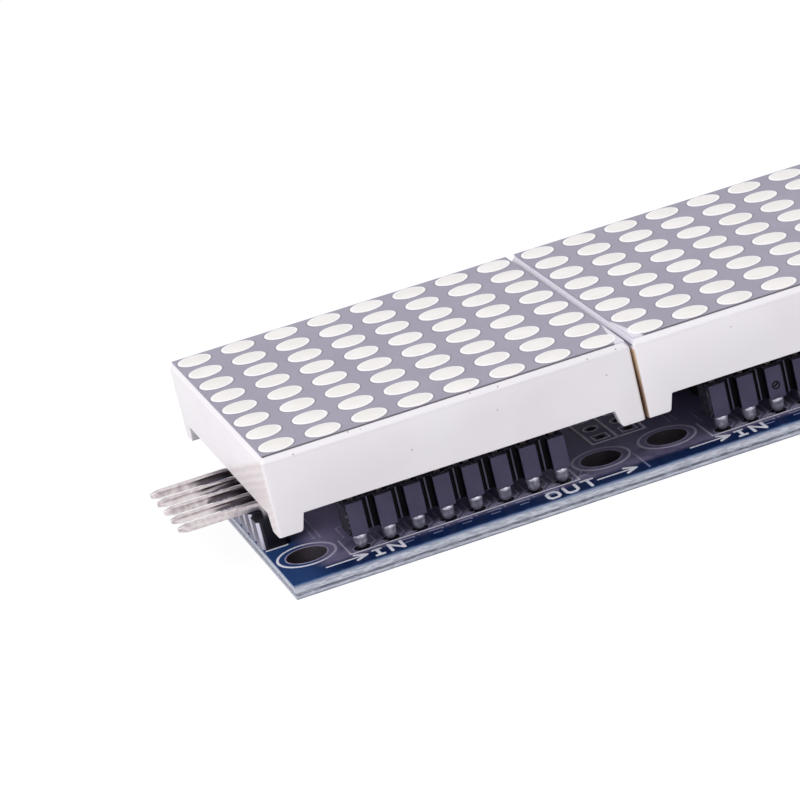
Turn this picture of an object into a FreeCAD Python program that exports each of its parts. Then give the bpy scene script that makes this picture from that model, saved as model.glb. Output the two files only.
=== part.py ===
import FreeCAD, Part
import math
import os
import Sketcher

# A row of 8 x 8 LED dot matrix displays, each plugged into two socket strips on one driver board.
# Millimetres. +X runs from the input end to the output end, +Y to the rear and +Z up to the faces.
# The origin is the centre of the board's underside, on which the module rests.

DISPLAY_COUNT = 4
DOTS_PER_SIDE = 8
DOT_CORNERS = 10
PINS_PER_ROW = 8
HEADER_PINS = 5
DRIVER_LEADS_PER_SIDE = 12

SIZES = {
    # Display: a white reflector housing, printed face, resin dots, and its inner board and pins
    "dot_pitch": 4.0,
    "dot_diameter": 3.0,
    "dot_crown": 0.06,
    "film_thickness": 0.1,
    "rim_setback": 0.3,
    "rim_height": 0.5,
    "housing_wall": 1.2,
    "reflector_depth": 3.0,
    "led_board_thickness": 1.0,
    "led_board_clearance": 0.2,
    "resin_thickness": 0.9,
    "resin_recess": 0.5,
    "foot_height": 1.5,
    "foot_width": 2.45,
    "foot_taper": 0.4,
    "display_gap": 0.2,
    # Two pin rows per display, and the socket strips that take them
    "pin_pitch": 2.54,
    "pin_row_spacing": 24.0,
    "pin_thickness": 0.5,
    "pin_insertion": 2.3,
    "socket_width": 2.5,
    "socket_height": 2.85,
    "socket_standoff": 1.4,
    "socket_groove": 1.06,
    "socket_groove_depth": 0.75,
    "socket_cavity": 0.9,
    "contact_width": 0.6,
    "contact_setdown": 0.3,
    # Driver board
    "board_thickness": 1.2,
    "board_overhang": 0.1,
    "board_end_setback": 0.25,
    "hole_diameter": 3.5,
    "hole_from_section_line": 3.0,
    "hole_from_edge": 6.0,
    "header_hole_clearance": 0.15,
    # Driver chip, one under each display
    "driver_end": 0.715,
    "driver_width": 7.5,
    "driver_height": 2.3,
    "driver_standoff": 0.15,
    "driver_bevel": 0.5,
    "lead_pitch": 1.27,
    "lead_width": 0.42,
    "lead_thickness": 0.25,
    "lead_span": 10.3,
    "lead_foot": 0.8,
    "lead_exit": 1.3,
    # Small parts beside each chip
    "part_gap": 0.4,
    "storage_length": 6.0,
    "storage_width": 3.2,
    "storage_height": 2.5,
    "storage_offset": 4.0,
    "storage_bevel": 0.4,
    "chip_length": 2.0,
    "chip_width": 1.25,
    "chip_offset": 3.0,
    "bypass_height": 0.9,
    "resistor_height": 0.5,
    # Right-angled pin header at the input end
    "header_inset": 1.25,
    "header_width": 2.5,
    "header_height": 2.54,
    "header_notch": 0.9,
    "header_notch_depth": 0.45,
    "header_pin": 0.64,
    "header_pin_rise": 0.34,
    "header_bend": 0.8,
    "header_reach": 7.5,
    "header_tip": 0.35,
    "header_tip_length": 0.7,
}

# Sizes that follow from the driving ones, as expressions on the sheet
HOUSING_SIDE = f"({DOTS_PER_SIDE} * Sizes.dot_pitch)"
HOUSING_INNER = f"({HOUSING_SIDE} - 2 * Sizes.housing_wall)"
HOUSING_DEPTH = ("(Sizes.reflector_depth + Sizes.led_board_thickness"
                 " + Sizes.resin_thickness + Sizes.resin_recess)")
DISPLAY_PITCH = f"({HOUSING_SIDE} + Sizes.display_gap)"
BOARD_LENGTH = f"({DISPLAY_COUNT} * {DISPLAY_PITCH} - 2 * Sizes.board_end_setback)"
BOARD_DEPTH = f"({HOUSING_SIDE} + 2 * Sizes.board_overhang)"
BOARD_TOP = "Sizes.board_thickness"
SOCKET_SEAT = "(Sizes.board_thickness + Sizes.socket_standoff)"
SOCKET_LENGTH = f"({PINS_PER_ROW} * Sizes.pin_pitch - Sizes.socket_groove)"
DISPLAY_SEAT = f"({SOCKET_SEAT} + Sizes.socket_height)"
RESIN_SEAT = f"({DISPLAY_SEAT} + Sizes.foot_height + Sizes.resin_recess)"
LED_BOARD_SEAT = f"({RESIN_SEAT} + Sizes.resin_thickness)"
FILM_SEAT = f"({DISPLAY_SEAT} + Sizes.foot_height + {HOUSING_DEPTH})"
DOT_SEAT = f"({FILM_SEAT} + Sizes.film_thickness)"
PIN_LENGTH = "(Sizes.foot_height + Sizes.resin_recess + Sizes.pin_insertion)"
CONTACT_THICKNESS = "((Sizes.socket_cavity - Sizes.pin_thickness) / 2)"
FIRST_PIN = f"(-{(PINS_PER_ROW - 1) / 2} * Sizes.pin_pitch)"
PIN_ROW = "(Sizes.pin_row_spacing / 2)"
DRIVER_LENGTH = f"({DRIVER_LEADS_PER_SIDE - 1} * Sizes.lead_pitch + 2 * Sizes.driver_end)"
HEADER_AXIS = f"(Sizes.header_inset - {BOARD_LENGTH} / 2)"
FIRST_HEADER_PIN = f"(-{(HEADER_PINS - 1) / 2} * Sizes.pin_pitch)"

# How near two heights are to count as one, and the least volume that a cut takes
SAME_HEIGHT = 1e-6
LEAST_CUT = 1e-9

doc = FreeCAD.newDocument("led_dot_matrix")
sub_parts = []
cuts = []


def write_sheet():
    """Write the driving dimensions into the sheet, one named row each."""
    sheet = doc.addObject("Spreadsheet::Sheet", "Sizes")
    for row, (name, value) in enumerate(SIZES.items(), start=1):
        sheet.set(f"A{row}", name)
        sheet.set(f"B{row}", str(value))
        sheet.setAlias(f"B{row}", name)
    doc.recompute()


def section_place(number):
    """The place of a display's centre along the board, as an expression."""
    return f"{number - (DISPLAY_COUNT + 1) / 2} * {DISPLAY_PITCH}"


def place(piece, x, y, z):
    """Bind the three coordinates of a placement to expressions."""
    for axis, expression in zip("xyz", (x, y, z)):
        piece.setExpression(f"Placement.Base.{axis}", expression)


def new_body(label, x="0", y="0", z="0"):
    """A body for one sub-part, standing at its seat."""
    body = doc.addObject("PartDesign::Body", label)
    body.Label = label
    place(body, x, y, z)
    sub_parts.append(body)
    return body


def origin_feature(body, role):
    """A plane or axis of the body's own origin."""
    return next(feature for feature in body.Origin.OriginFeatures if feature.Role == role)


def new_sketch(body, name, role, lift="0"):
    """An empty sketch, lift above one of the body's origin planes."""
    sketch = body.newObject("Sketcher::SketchObject", name)
    sketch.AttachmentSupport = (origin_feature(body, role), [""])
    sketch.MapMode = "FlatFace"
    sketch.setExpression("AttachmentOffset.Base.z", lift)
    return sketch


def bind(sketch, constraint, name, expression):
    """Add a dimension to a sketch and bind it to an expression."""
    index = sketch.addConstraint(constraint)
    sketch.renameConstraint(index, name)
    sketch.setExpression(f"Constraints.{name}", expression)


def outline(body, name, role, corners, lift="0"):
    """A closed straight-sided sketch. Each corner is a pair of expressions."""
    sketch = new_sketch(body, name, role, lift)
    values = [(sketch.evalExpression(across), sketch.evalExpression(up)) for across, up in corners]
    points = [FreeCAD.Vector(float(across), float(up), 0) for across, up in values]
    for number, point in enumerate(points):
        sketch.addGeometry(Part.LineSegment(point, points[(number + 1) % len(points)]))
    for number in range(len(points)):
        following = (number + 1) % len(points)
        sketch.addConstraint(Sketcher.Constraint("Coincident", number, 2, following, 1))
    for number, (across, up) in enumerate(corners):
        x_value = Sketcher.Constraint("DistanceX", -1, 1, number, 1, points[number].x)
        y_value = Sketcher.Constraint("DistanceY", -1, 1, number, 1, points[number].y)
        bind(sketch, x_value, f"across_{number}", across)
        bind(sketch, y_value, f"up_{number}", up)
    return sketch


def rectangle(body, name, role, width, length, lift="0"):
    """A rectangle sketch centred on the origin, width across and length up."""
    half_width = f"{width} / 2"
    half_length = f"{length} / 2"
    corners = [
        (f"-{half_width}", f"-{half_length}"),
        (half_width, f"-{half_length}"),
        (half_width, half_length),
        (f"-{half_width}", half_length),
    ]
    return outline(body, name, role, corners, lift)


def pad(body, name, sketch, length, centred=False):
    """A pad of a sketch along its normal, or half to each side."""
    feature = body.newObject("PartDesign::Pad", name)
    feature.Profile = sketch
    feature.SideType = "Symmetric" if centred else "One side"
    feature.setExpression("Length", length)
    return feature


def pocket(body, name, sketch, length, upwards=False, centred=False):
    """A pocket of a sketch against its normal, along it, or half to each side."""
    feature = body.newObject("PartDesign::Pocket", name)
    feature.Profile = sketch
    feature.SideType = "Symmetric" if centred else "One side"
    feature.Reversed = upwards
    feature.setExpression("Length", length)
    cuts.append(feature)
    return feature


def box(body, name, size, centre_x, centre_y, bottom, cut=False):
    """A box centred at a place and standing at a height, added to the body or cut from it."""
    kind = "PartDesign::SubtractiveBox" if cut else "PartDesign::AdditiveBox"
    feature = body.newObject(kind, name)
    for side, expression in zip(("Length", "Width", "Height"), size):
        feature.setExpression(side, expression)
    place(feature, f"{centre_x} - {size[0]} / 2", f"{centre_y} - {size[1]} / 2", bottom)
    if cut:
        cuts.append(feature)
    return feature


def line_pattern(body, name, axis, spacing, count):
    """A row of copies along one axis of the body's origin, at a spacing."""
    feature = body.newObject("PartDesign::LinearPattern", name)
    feature.Direction = (origin_feature(body, axis), [""])
    feature.Mode = "Spacing"
    feature.setExpression("Offset", spacing)
    feature.Occurrences = count
    return feature


def pattern(body, name, originals, axis, spacing, count):
    """Repeat features in one row, and make it the body's result."""
    feature = line_pattern(body, name, axis, spacing, count)
    feature.Originals = originals
    body.Tip = feature
    return feature


def grid(body, name, originals, x_spacing, x_count, y_spacing, y_count):
    """Repeat features in rows along X and Y, and make them the body's result."""
    feature = body.newObject("PartDesign::MultiTransform", name)
    along_x = line_pattern(body, f"{name}_along_x", "X_Axis", x_spacing, x_count)
    along_y = line_pattern(body, f"{name}_along_y", "Y_Axis", y_spacing, y_count)
    feature.Originals = originals
    feature.Transformations = [along_x, along_y]
    body.Tip = feature
    return feature


def edges_where(feature, test):
    """The names of a feature's straight edges whose two ends pass a test."""
    doc.recompute()
    edges = enumerate(feature.Shape.Edges, start=1)
    return [f"Edge{number}" for number, edge in edges if all(test(end.Point) for end in edge.Vertexes)]


def bevel(body, name, base, edges, size, second_size=None):
    """A chamfer on named edges, of one size or of two."""
    feature = body.newObject("PartDesign::Chamfer", name)
    feature.Base = (base, edges)
    feature.setExpression("Size", size)
    if second_size:
        feature.ChamferType = "Two distances"
        feature.setExpression("Size2", second_size)
    return feature


def display_housing(number):
    """The white reflector housing: an open tray, face up, whose walls end in four corner feet."""
    body = new_body(f"display_{number}_housing", section_place(number), "0", DISPLAY_SEAT)
    height = f"(Sizes.foot_height + {HOUSING_DEPTH})"
    block_outline = rectangle(body, "block_outline", "XY_Plane", HOUSING_SIDE, HOUSING_SIDE)
    block = pad(body, "block", block_outline, height)
    top = float(block.evalExpression(height))
    rim_edges = edges_where(block, lambda point: abs(point.z - top) < SAME_HEIGHT)
    bevel(body, "rim_bevel", block, rim_edges, "Sizes.rim_height", "Sizes.rim_setback")
    hollow = rectangle(body, "hollow_outline", "XY_Plane", HOUSING_INNER, HOUSING_INNER)
    pocket(body, "hollow", hollow, f"{height} - Sizes.reflector_depth", upwards=True)
    root = f"({HOUSING_SIDE} / 2 - Sizes.foot_width)"
    toe = f"({root} + Sizes.foot_taper)"
    gap_corners = [
        (f"-{toe}", "0"),
        (toe, "0"),
        (root, "Sizes.foot_height"),
        (f"-{root}", "Sizes.foot_height"),
    ]
    for side, role in (("front_to_rear", "XZ_Plane"), ("side_to_side", "YZ_Plane")):
        gap = outline(body, f"{side}_outline", role, gap_corners)
        pocket(body, f"{side}_gap", gap, HOUSING_SIDE, centred=True)


def display_film(number):
    """The grey printed film that covers the face up to the rim's bevel."""
    body = new_body(f"display_{number}_face_film", section_place(number), "0", FILM_SEAT)
    side = f"({HOUSING_SIDE} - 2 * Sizes.rim_setback)"
    pad(body, "film", rectangle(body, "film_outline", "XY_Plane", side, side), "Sizes.film_thickness")


def dot_outline(body, first_place):
    """A regular polygon in the dot's circle, with its centre at the first dot's place."""
    sketch = new_sketch(body, "dot_outline", "XY_Plane")
    radius = sketch.evalExpression("Sizes.dot_diameter") / 2
    start = float(sketch.evalExpression(first_place))
    centre = FreeCAD.Vector(start, start, 0)
    turns = [2 * math.pi * corner / DOT_CORNERS for corner in range(DOT_CORNERS)]
    corners = [centre + FreeCAD.Vector(math.cos(turn), math.sin(turn), 0) * radius for turn in turns]
    for number, corner in enumerate(corners):
        sketch.addGeometry(Part.LineSegment(corner, corners[(number + 1) % DOT_CORNERS]))
    circle = sketch.addGeometry(Part.Circle(centre, FreeCAD.Vector(0, 0, 1), radius), True)
    for number in range(DOT_CORNERS):
        following = (number + 1) % DOT_CORNERS
        sketch.addConstraint(Sketcher.Constraint("Coincident", number, 2, following, 1))
        sketch.addConstraint(Sketcher.Constraint("PointOnObject", number, 1, circle))
    for number in range(1, DOT_CORNERS):
        sketch.addConstraint(Sketcher.Constraint("Equal", 0, number))
    bind(sketch, Sketcher.Constraint("Diameter", circle, 2 * radius), "diameter", "Sizes.dot_diameter")
    bind(sketch, Sketcher.Constraint("DistanceX", -1, 1, circle, 3, start), "across", first_place)
    bind(sketch, Sketcher.Constraint("DistanceY", -1, 1, circle, 3, start), "up", first_place)
    bind(sketch, Sketcher.Constraint("DistanceY", -1, 1, 0, 1, start), "first_corner", first_place)
    return sketch


def display_dots(number):
    """The resin dots: low crowned lenses in a square grid, standing just proud of the film."""
    body = new_body(f"display_{number}_dots", section_place(number), "0", DOT_SEAT)
    first_place = f"(-{(DOTS_PER_SIDE - 1) / 2} * Sizes.dot_pitch)"
    crown = new_sketch(body, "dot_crown", "XY_Plane", "Sizes.dot_crown")
    start = float(crown.evalExpression(first_place))
    crown.addGeometry(Part.Point(FreeCAD.Vector(start, start, 0)))
    bind(crown, Sketcher.Constraint("DistanceX", -1, 1, 0, 1, start), "across", first_place)
    bind(crown, Sketcher.Constraint("DistanceY", -1, 1, 0, 1, start), "up", first_place)
    dot = body.newObject("PartDesign::AdditiveLoft", "dot")
    dot.Profile = dot_outline(body, first_place)
    dot.Sections = [(crown, ["Vertex1"])]
    dot.Ruled = True
    grid(body, "dot_grid", [dot], "Sizes.dot_pitch", DOTS_PER_SIDE, "Sizes.dot_pitch", DOTS_PER_SIDE)


def display_inside(number):
    """The board that carries the LEDs, under the reflector, and the resin poured in behind it."""
    led_board = new_body(f"display_{number}_led_board", section_place(number), "0", LED_BOARD_SEAT)
    side = f"({HOUSING_INNER} - 2 * Sizes.led_board_clearance)"
    board_outline = rectangle(led_board, "board_outline", "XY_Plane", side, side)
    pad(led_board, "board", board_outline, "Sizes.led_board_thickness")
    resin = new_body(f"display_{number}_resin", section_place(number), "0", RESIN_SEAT)
    resin_outline = rectangle(resin, "resin_outline", "XY_Plane", HOUSING_INNER, HOUSING_INNER)
    pad(resin, "resin", resin_outline, "Sizes.resin_thickness")


def display_pins(number):
    """Two rows of square pins from the resin down into the socket strips."""
    seat = f"{RESIN_SEAT} - {PIN_LENGTH}"
    body = new_body(f"display_{number}_pins", section_place(number), "0", seat)
    size = ("Sizes.pin_thickness", "Sizes.pin_thickness", PIN_LENGTH)
    pin = box(body, "pin", size, FIRST_PIN, f"-{PIN_ROW}", "0")
    grid(body, "pin_rows", [pin], "Sizes.pin_pitch", PINS_PER_ROW, "Sizes.pin_row_spacing", 2)


def socket_strip(number, name, row):
    """A socket strip: square cells, parted by grooves front and rear, each with one cavity.

    The cavities stand off the strip's middle, so that pin and contact share each one.
    """
    body = new_body(f"socket_{number}_{name}", section_place(number), row, SOCKET_SEAT)
    strip = rectangle(body, "strip_outline", "XY_Plane", SOCKET_LENGTH, "Sizes.socket_width")
    pad(body, "strip", strip, "Sizes.socket_height")
    groove_size = ("Sizes.socket_groove", "Sizes.socket_groove_depth", "Sizes.socket_height")
    groove_place = f"({FIRST_PIN} + Sizes.pin_pitch / 2)"
    groove_middle = "(Sizes.socket_width / 2 - Sizes.socket_groove_depth / 2)"
    front = box(body, "front_groove", groove_size, groove_place, f"-{groove_middle}", "0", cut=True)
    rear = box(body, "rear_groove", groove_size, groove_place, groove_middle, "0", cut=True)
    pattern(body, "grooves", [front, rear], "X_Axis", "Sizes.pin_pitch", PINS_PER_ROW - 1)
    cavity_size = ("Sizes.socket_cavity", "Sizes.socket_cavity", "Sizes.socket_height")
    cavity = box(body, "cavity", cavity_size, FIRST_PIN, "0", "0", cut=True)
    pattern(body, "cavities", [cavity], "X_Axis", "Sizes.pin_pitch", PINS_PER_ROW)


def socket_contacts(number):
    """Flat contacts, each between a pin and its cavity's inner wall, with a tail down to the board."""
    body = new_body(f"socket_{number}_contacts", section_place(number), "0", BOARD_TOP)
    height = "(Sizes.socket_standoff + Sizes.socket_height - Sizes.contact_setdown)"
    size = ("Sizes.contact_width", CONTACT_THICKNESS, height)
    contact_row = f"({PIN_ROW} - Sizes.pin_thickness / 2 - {CONTACT_THICKNESS} / 2)"
    front = box(body, "front_contact", size, FIRST_PIN, f"-{contact_row}", "0")
    rear = box(body, "rear_contact", size, FIRST_PIN, contact_row, "0")
    pattern(body, "contact_rows", [front, rear], "X_Axis", "Sizes.pin_pitch", PINS_PER_ROW)


def driver_chip(number):
    """The driver chip: a moulded body, bevelled along the front, on two rows of bent leads."""
    chip_seat = f"{BOARD_TOP} + Sizes.driver_standoff"
    body = new_body(f"driver_{number}_body", section_place(number), "0", chip_seat)
    block = rectangle(body, "block_outline", "XY_Plane", DRIVER_LENGTH, "Sizes.driver_width")
    chip = pad(body, "block", block, "Sizes.driver_height")
    top = float(chip.evalExpression("Sizes.driver_height"))
    front_edge = edges_where(chip, lambda point: abs(point.z - top) < SAME_HEIGHT and point.y < 0)
    bevel(body, "front_bevel", chip, front_edge, "Sizes.driver_bevel")
    leads = new_body(f"driver_{number}_leads", section_place(number), "0", BOARD_TOP)
    wall = "Sizes.driver_width / 2"
    tip = "Sizes.lead_span / 2"
    heel = "(Sizes.lead_span / 2 - Sizes.lead_foot)"
    sides = []
    for side, sign in (("front", "-1"), ("rear", "1")):
        corners = [
            (f"{sign} * {wall}", "Sizes.lead_exit - Sizes.lead_thickness"),
            (f"{sign} * {heel}", "0"),
            (f"{sign} * {tip}", "0"),
            (f"{sign} * {wall}", "Sizes.lead_exit"),
        ]
        first_lead = f"-{(DRIVER_LEADS_PER_SIDE - 1) / 2} * Sizes.lead_pitch"
        bent = outline(leads, f"{side}_lead_outline", "YZ_Plane", corners, first_lead)
        sides.append(pad(leads, f"{side}_lead", bent, "Sizes.lead_width", centred=True))
    pattern(leads, "lead_rows", sides, "X_Axis", "Sizes.lead_pitch", DRIVER_LEADS_PER_SIDE)


def storage_capacitor(number):
    """The moulded storage capacitor beside the chip's input end and to the rear, bevelled round its top."""
    beside = f"({DRIVER_LENGTH} / 2 + Sizes.part_gap + Sizes.storage_width / 2)"
    x = f"{section_place(number)} - {beside}"
    body = new_body(f"storage_capacitor_{number}", x, "Sizes.storage_offset", BOARD_TOP)
    block = rectangle(body, "block_outline", "XY_Plane", "Sizes.storage_width", "Sizes.storage_length")
    moulding = pad(body, "block", block, "Sizes.storage_height")
    top = float(moulding.evalExpression("Sizes.storage_height"))
    top_edges = edges_where(moulding, lambda point: abs(point.z - top) < SAME_HEIGHT)
    bevel(body, "top_bevel", moulding, top_edges, "Sizes.storage_bevel")


def small_parts(number):
    """The bypass capacitor and the set resistor beside the chip's output end, one behind the other."""
    beside = f"({DRIVER_LENGTH} / 2 + Sizes.part_gap + Sizes.chip_length / 2)"
    for name, sign, height in (("bypass_capacitor", "1", "bypass"), ("set_resistor", "-1", "resistor")):
        piece = doc.addObject("Part::Box", f"{name}_{number}")
        piece.Label = f"{name}_{number}"
        piece.setExpression("Length", "Sizes.chip_length")
        piece.setExpression("Width", "Sizes.chip_width")
        piece.setExpression("Height", f"Sizes.{height}_height")
        x = f"{section_place(number)} + {beside} - Sizes.chip_length / 2"
        y = f"{sign} * Sizes.chip_offset - Sizes.chip_width / 2"
        place(piece, x, y, BOARD_TOP)
        sub_parts.append(piece)


def main_board():
    """The driver board, with four mounting holes per display and a hole for each header pin."""
    body = new_body("main_board")
    pad(body, "board", rectangle(body, "board_outline", "XY_Plane", BOARD_LENGTH, BOARD_DEPTH),
        "Sizes.board_thickness")
    first_section = section_place(1)
    hole_x = f"({DISPLAY_PITCH} / 2 - Sizes.hole_from_section_line)"
    hole_y = f"({BOARD_DEPTH} / 2 - Sizes.hole_from_edge)"
    centres = new_sketch(body, "hole_centres", "XY_Plane", "Sizes.board_thickness")
    radius = float(centres.evalExpression("Sizes.hole_diameter / 2"))
    for index, (x_sign, y_sign) in enumerate(((-1, -1), (1, -1), (1, 1), (-1, 1))):
        x = f"{first_section} + {x_sign} * {hole_x}"
        y = f"{y_sign} * {hole_y}"
        middle = FreeCAD.Vector(float(centres.evalExpression(x)), float(centres.evalExpression(y)), 0)
        circle = centres.addGeometry(Part.Circle(middle, FreeCAD.Vector(0, 0, 1), radius))
        diameter = Sketcher.Constraint("Diameter", circle, 2 * radius)
        bind(centres, diameter, f"diameter_{index}", "Sizes.hole_diameter")
        bind(centres, Sketcher.Constraint("DistanceX", -1, 1, circle, 3, middle.x), f"across_{index}", x)
        bind(centres, Sketcher.Constraint("DistanceY", -1, 1, circle, 3, middle.y), f"up_{index}", y)
    holes = pocket(body, "mounting_holes", centres, "Sizes.board_thickness")
    pattern(body, "section_holes", [holes], "X_Axis", DISPLAY_PITCH, DISPLAY_COUNT)
    hole_side = "(Sizes.header_pin + 2 * Sizes.header_hole_clearance)"
    hole_size = (hole_side, hole_side, "Sizes.board_thickness")
    hole = box(body, "header_hole", hole_size, HEADER_AXIS, FIRST_HEADER_PIN, "0", cut=True)
    pattern(body, "header_holes", [hole], "Y_Axis", "Sizes.pin_pitch", HEADER_PINS)


def input_header_body():
    """The header's black strip: cells parted by V notches on both long sides, one hole per pin."""
    body = new_body("input_header_body", HEADER_AXIS, "0", BOARD_TOP)
    length = f"({HEADER_PINS} * Sizes.pin_pitch)"
    strip = rectangle(body, "strip_outline", "XY_Plane", "Sizes.header_width", length)
    pad(body, "strip", strip, "Sizes.header_height")
    first_notch = f"({FIRST_HEADER_PIN} - Sizes.pin_pitch / 2)"
    notches = []
    for side, sign in (("outer", "-1"), ("inner", "1")):
        corners = [
            (f"{sign} * Sizes.header_width / 2", f"{first_notch} - Sizes.header_notch / 2"),
            (f"{sign} * Sizes.header_width / 2", f"{first_notch} + Sizes.header_notch / 2"),
            (f"{sign} * (Sizes.header_width / 2 - Sizes.header_notch_depth)", first_notch),
        ]
        notch = outline(body, f"{side}_notch_outline", "XY_Plane", corners)
        notches.append(pocket(body, f"{side}_notch", notch, "Sizes.header_height", upwards=True))
    pattern(body, "notches", notches, "Y_Axis", "Sizes.pin_pitch", HEADER_PINS + 1)
    hole_size = ("Sizes.header_pin", "Sizes.header_pin", "Sizes.header_height")
    hole = box(body, "pin_hole", hole_size, "0", FIRST_HEADER_PIN, "0", cut=True)
    pattern(body, "pin_holes", [hole], "Y_Axis", "Sizes.pin_pitch", HEADER_PINS)


def header_pin_path(body):
    """The pin's middle line: up through board and strip, round one bend, and out past the end."""
    sketch = new_sketch(body, "pin_path", "XZ_Plane", f"-{FIRST_HEADER_PIN}")
    bend = float(sketch.evalExpression("Sizes.header_bend"))
    straight = "(Sizes.board_thickness + Sizes.header_height + Sizes.header_pin_rise)"
    rise = float(sketch.evalExpression(straight))
    out = float(sketch.evalExpression("Sizes.header_reach - Sizes.header_tip_length"))
    centre = FreeCAD.Vector(-bend, rise, 0)
    low = FreeCAD.Vector(0, 0, 0)
    high = FreeCAD.Vector(0, rise, 0)
    turned = FreeCAD.Vector(-bend, rise + bend, 0)
    end = FreeCAD.Vector(-out, rise + bend, 0)
    sketch.addGeometry(Part.LineSegment(low, high))
    circle = Part.Circle(centre, FreeCAD.Vector(0, 0, 1), bend)
    sketch.addGeometry(Part.ArcOfCircle(circle, 0, math.pi / 2))
    sketch.addGeometry(Part.LineSegment(turned, end))
    sketch.addConstraint(Sketcher.Constraint("Coincident", 0, 1, -1, 1))
    sketch.addConstraint(Sketcher.Constraint("Vertical", 0))
    sketch.addConstraint(Sketcher.Constraint("Horizontal", 2))
    sketch.addConstraint(Sketcher.Constraint("Tangent", 0, 2, 1, 1))
    sketch.addConstraint(Sketcher.Constraint("Tangent", 1, 2, 2, 1))
    bind(sketch, Sketcher.Constraint("DistanceY", 0, 1, 0, 2, rise), "straight", straight)
    bind(sketch, Sketcher.Constraint("Radius", 1, bend), "bend", "Sizes.header_bend")
    reach = Sketcher.Constraint("DistanceX", 2, 2, -1, 1, out)
    bind(sketch, reach, "reach", "Sizes.header_reach - Sizes.header_tip_length")
    return sketch


def input_header_pins():
    """Five square pins, bent from the board to point out past the input end, with tapered tips."""
    body = new_body("input_header_pins", HEADER_AXIS)
    first = FIRST_HEADER_PIN
    half = "Sizes.header_pin / 2"
    foot_corners = [
        (f"-{half}", f"{first} - {half}"),
        (half, f"{first} - {half}"),
        (half, f"{first} + {half}"),
        (f"-{half}", f"{first} + {half}"),
    ]
    pin = body.newObject("PartDesign::AdditivePipe", "bent_pin")
    pin.Profile = outline(body, "pin_outline", "XY_Plane", foot_corners)
    pin.Spine = (header_pin_path(body), ["Edge1", "Edge2", "Edge3"])
    axis_height = ("(Sizes.board_thickness + Sizes.header_height + Sizes.header_pin_rise"
                   " + Sizes.header_bend)")
    sections = []
    for name, side, reach in (("shank", "Sizes.header_pin", "(Sizes.header_reach - Sizes.header_tip_length)"),
                              ("point", "Sizes.header_tip", "Sizes.header_reach")):
        corners = [
            (f"{first} - {side} / 2", f"{axis_height} - {side} / 2"),
            (f"{first} + {side} / 2", f"{axis_height} - {side} / 2"),
            (f"{first} + {side} / 2", f"{axis_height} + {side} / 2"),
            (f"{first} - {side} / 2", f"{axis_height} + {side} / 2"),
        ]
        sections.append(outline(body, f"tip_{name}", "YZ_Plane", corners, f"-{reach}"))
    tip = body.newObject("PartDesign::AdditiveLoft", "tapered_tip")
    tip.Profile = sections[0]
    tip.Sections = [sections[1]]
    tip.Ruled = True
    pattern(body, "pin_row", [pin, tip], "Y_Axis", "Sizes.pin_pitch", HEADER_PINS)


def check_and_export():
    """Stop on any failed object, empty cut or unsound shape, then write one file per sub-part."""
    doc.recompute()
    for item in doc.Objects:
        if {"Invalid", "Error"} & set(item.State):
            raise RuntimeError(f"{item.Label} failed: {item.State}")
    for cut in cuts:
        if cut.Shape.Volume >= cut.BaseFeature.Shape.Volume - LEAST_CUT:
            raise RuntimeError(f"{cut.Label} removed nothing")
    for piece in sub_parts:
        if piece.Shape.isNull() or not piece.Shape.isValid():
            raise RuntimeError(f"{piece.Label} has no sound shape")
    os.makedirs("parts", exist_ok=True)
    for piece in sub_parts:
        piece.Shape.exportStep(f"parts/{piece.Label}.step")
        print(f"{piece.Label}: {len(piece.Shape.Solids)} solids, {piece.Shape.Volume:.2f} mm3")


write_sheet()
main_board()
input_header_body()
input_header_pins()
for section in range(1, DISPLAY_COUNT + 1):
    display_housing(section)
    display_film(section)
    display_dots(section)
    display_inside(section)
    display_pins(section)
    socket_strip(section, "front", f"-{PIN_ROW}")
    socket_strip(section, "rear", PIN_ROW)
    socket_contacts(section)
    driver_chip(section)
    storage_capacitor(section)
    small_parts(section)
check_and_export()
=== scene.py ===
"""Dresses the LED dot matrix module and lights it for its picture.

Everything is in metres in the module's own frame. +X runs from the input header to the output end, +Y to the
rear and +Z up to the faces of the displays.
"""

import logging
import math
from collections.abc import Callable, Iterator
from contextlib import contextmanager
from dataclasses import dataclass
from enum import Enum

import bmesh
import bpy
from mathutils import Matrix, Vector

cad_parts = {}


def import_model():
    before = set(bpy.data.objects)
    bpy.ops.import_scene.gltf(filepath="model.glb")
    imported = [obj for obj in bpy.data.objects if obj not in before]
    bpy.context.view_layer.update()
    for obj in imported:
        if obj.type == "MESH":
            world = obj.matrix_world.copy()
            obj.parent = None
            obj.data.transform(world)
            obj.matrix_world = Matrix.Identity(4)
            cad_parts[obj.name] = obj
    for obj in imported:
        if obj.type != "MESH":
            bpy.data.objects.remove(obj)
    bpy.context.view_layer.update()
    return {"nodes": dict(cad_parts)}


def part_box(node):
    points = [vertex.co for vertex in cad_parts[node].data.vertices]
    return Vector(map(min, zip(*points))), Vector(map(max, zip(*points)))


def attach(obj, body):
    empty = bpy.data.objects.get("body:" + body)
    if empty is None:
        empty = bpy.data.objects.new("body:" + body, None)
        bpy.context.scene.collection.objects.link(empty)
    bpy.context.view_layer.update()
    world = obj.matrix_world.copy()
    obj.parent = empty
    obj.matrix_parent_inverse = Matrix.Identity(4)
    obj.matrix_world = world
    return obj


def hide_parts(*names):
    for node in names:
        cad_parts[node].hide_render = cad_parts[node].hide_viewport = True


MM = 0.001
SIDES = (-1, 1)
DISPLAYS = (1, 2, 3, 4)
BODY = "root"
SHARP = 30.0  # the least angle in degrees between the faces at a sharp edge
FACING = 0.9  # the least share of its normal along an axis, of a face that faces that way
NEAR = 0.1 * MM  # within this, two heights on a housing are the same
ROUND_END = 0.46  # the rounding at a printed stroke's ends, as a share of its width

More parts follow.
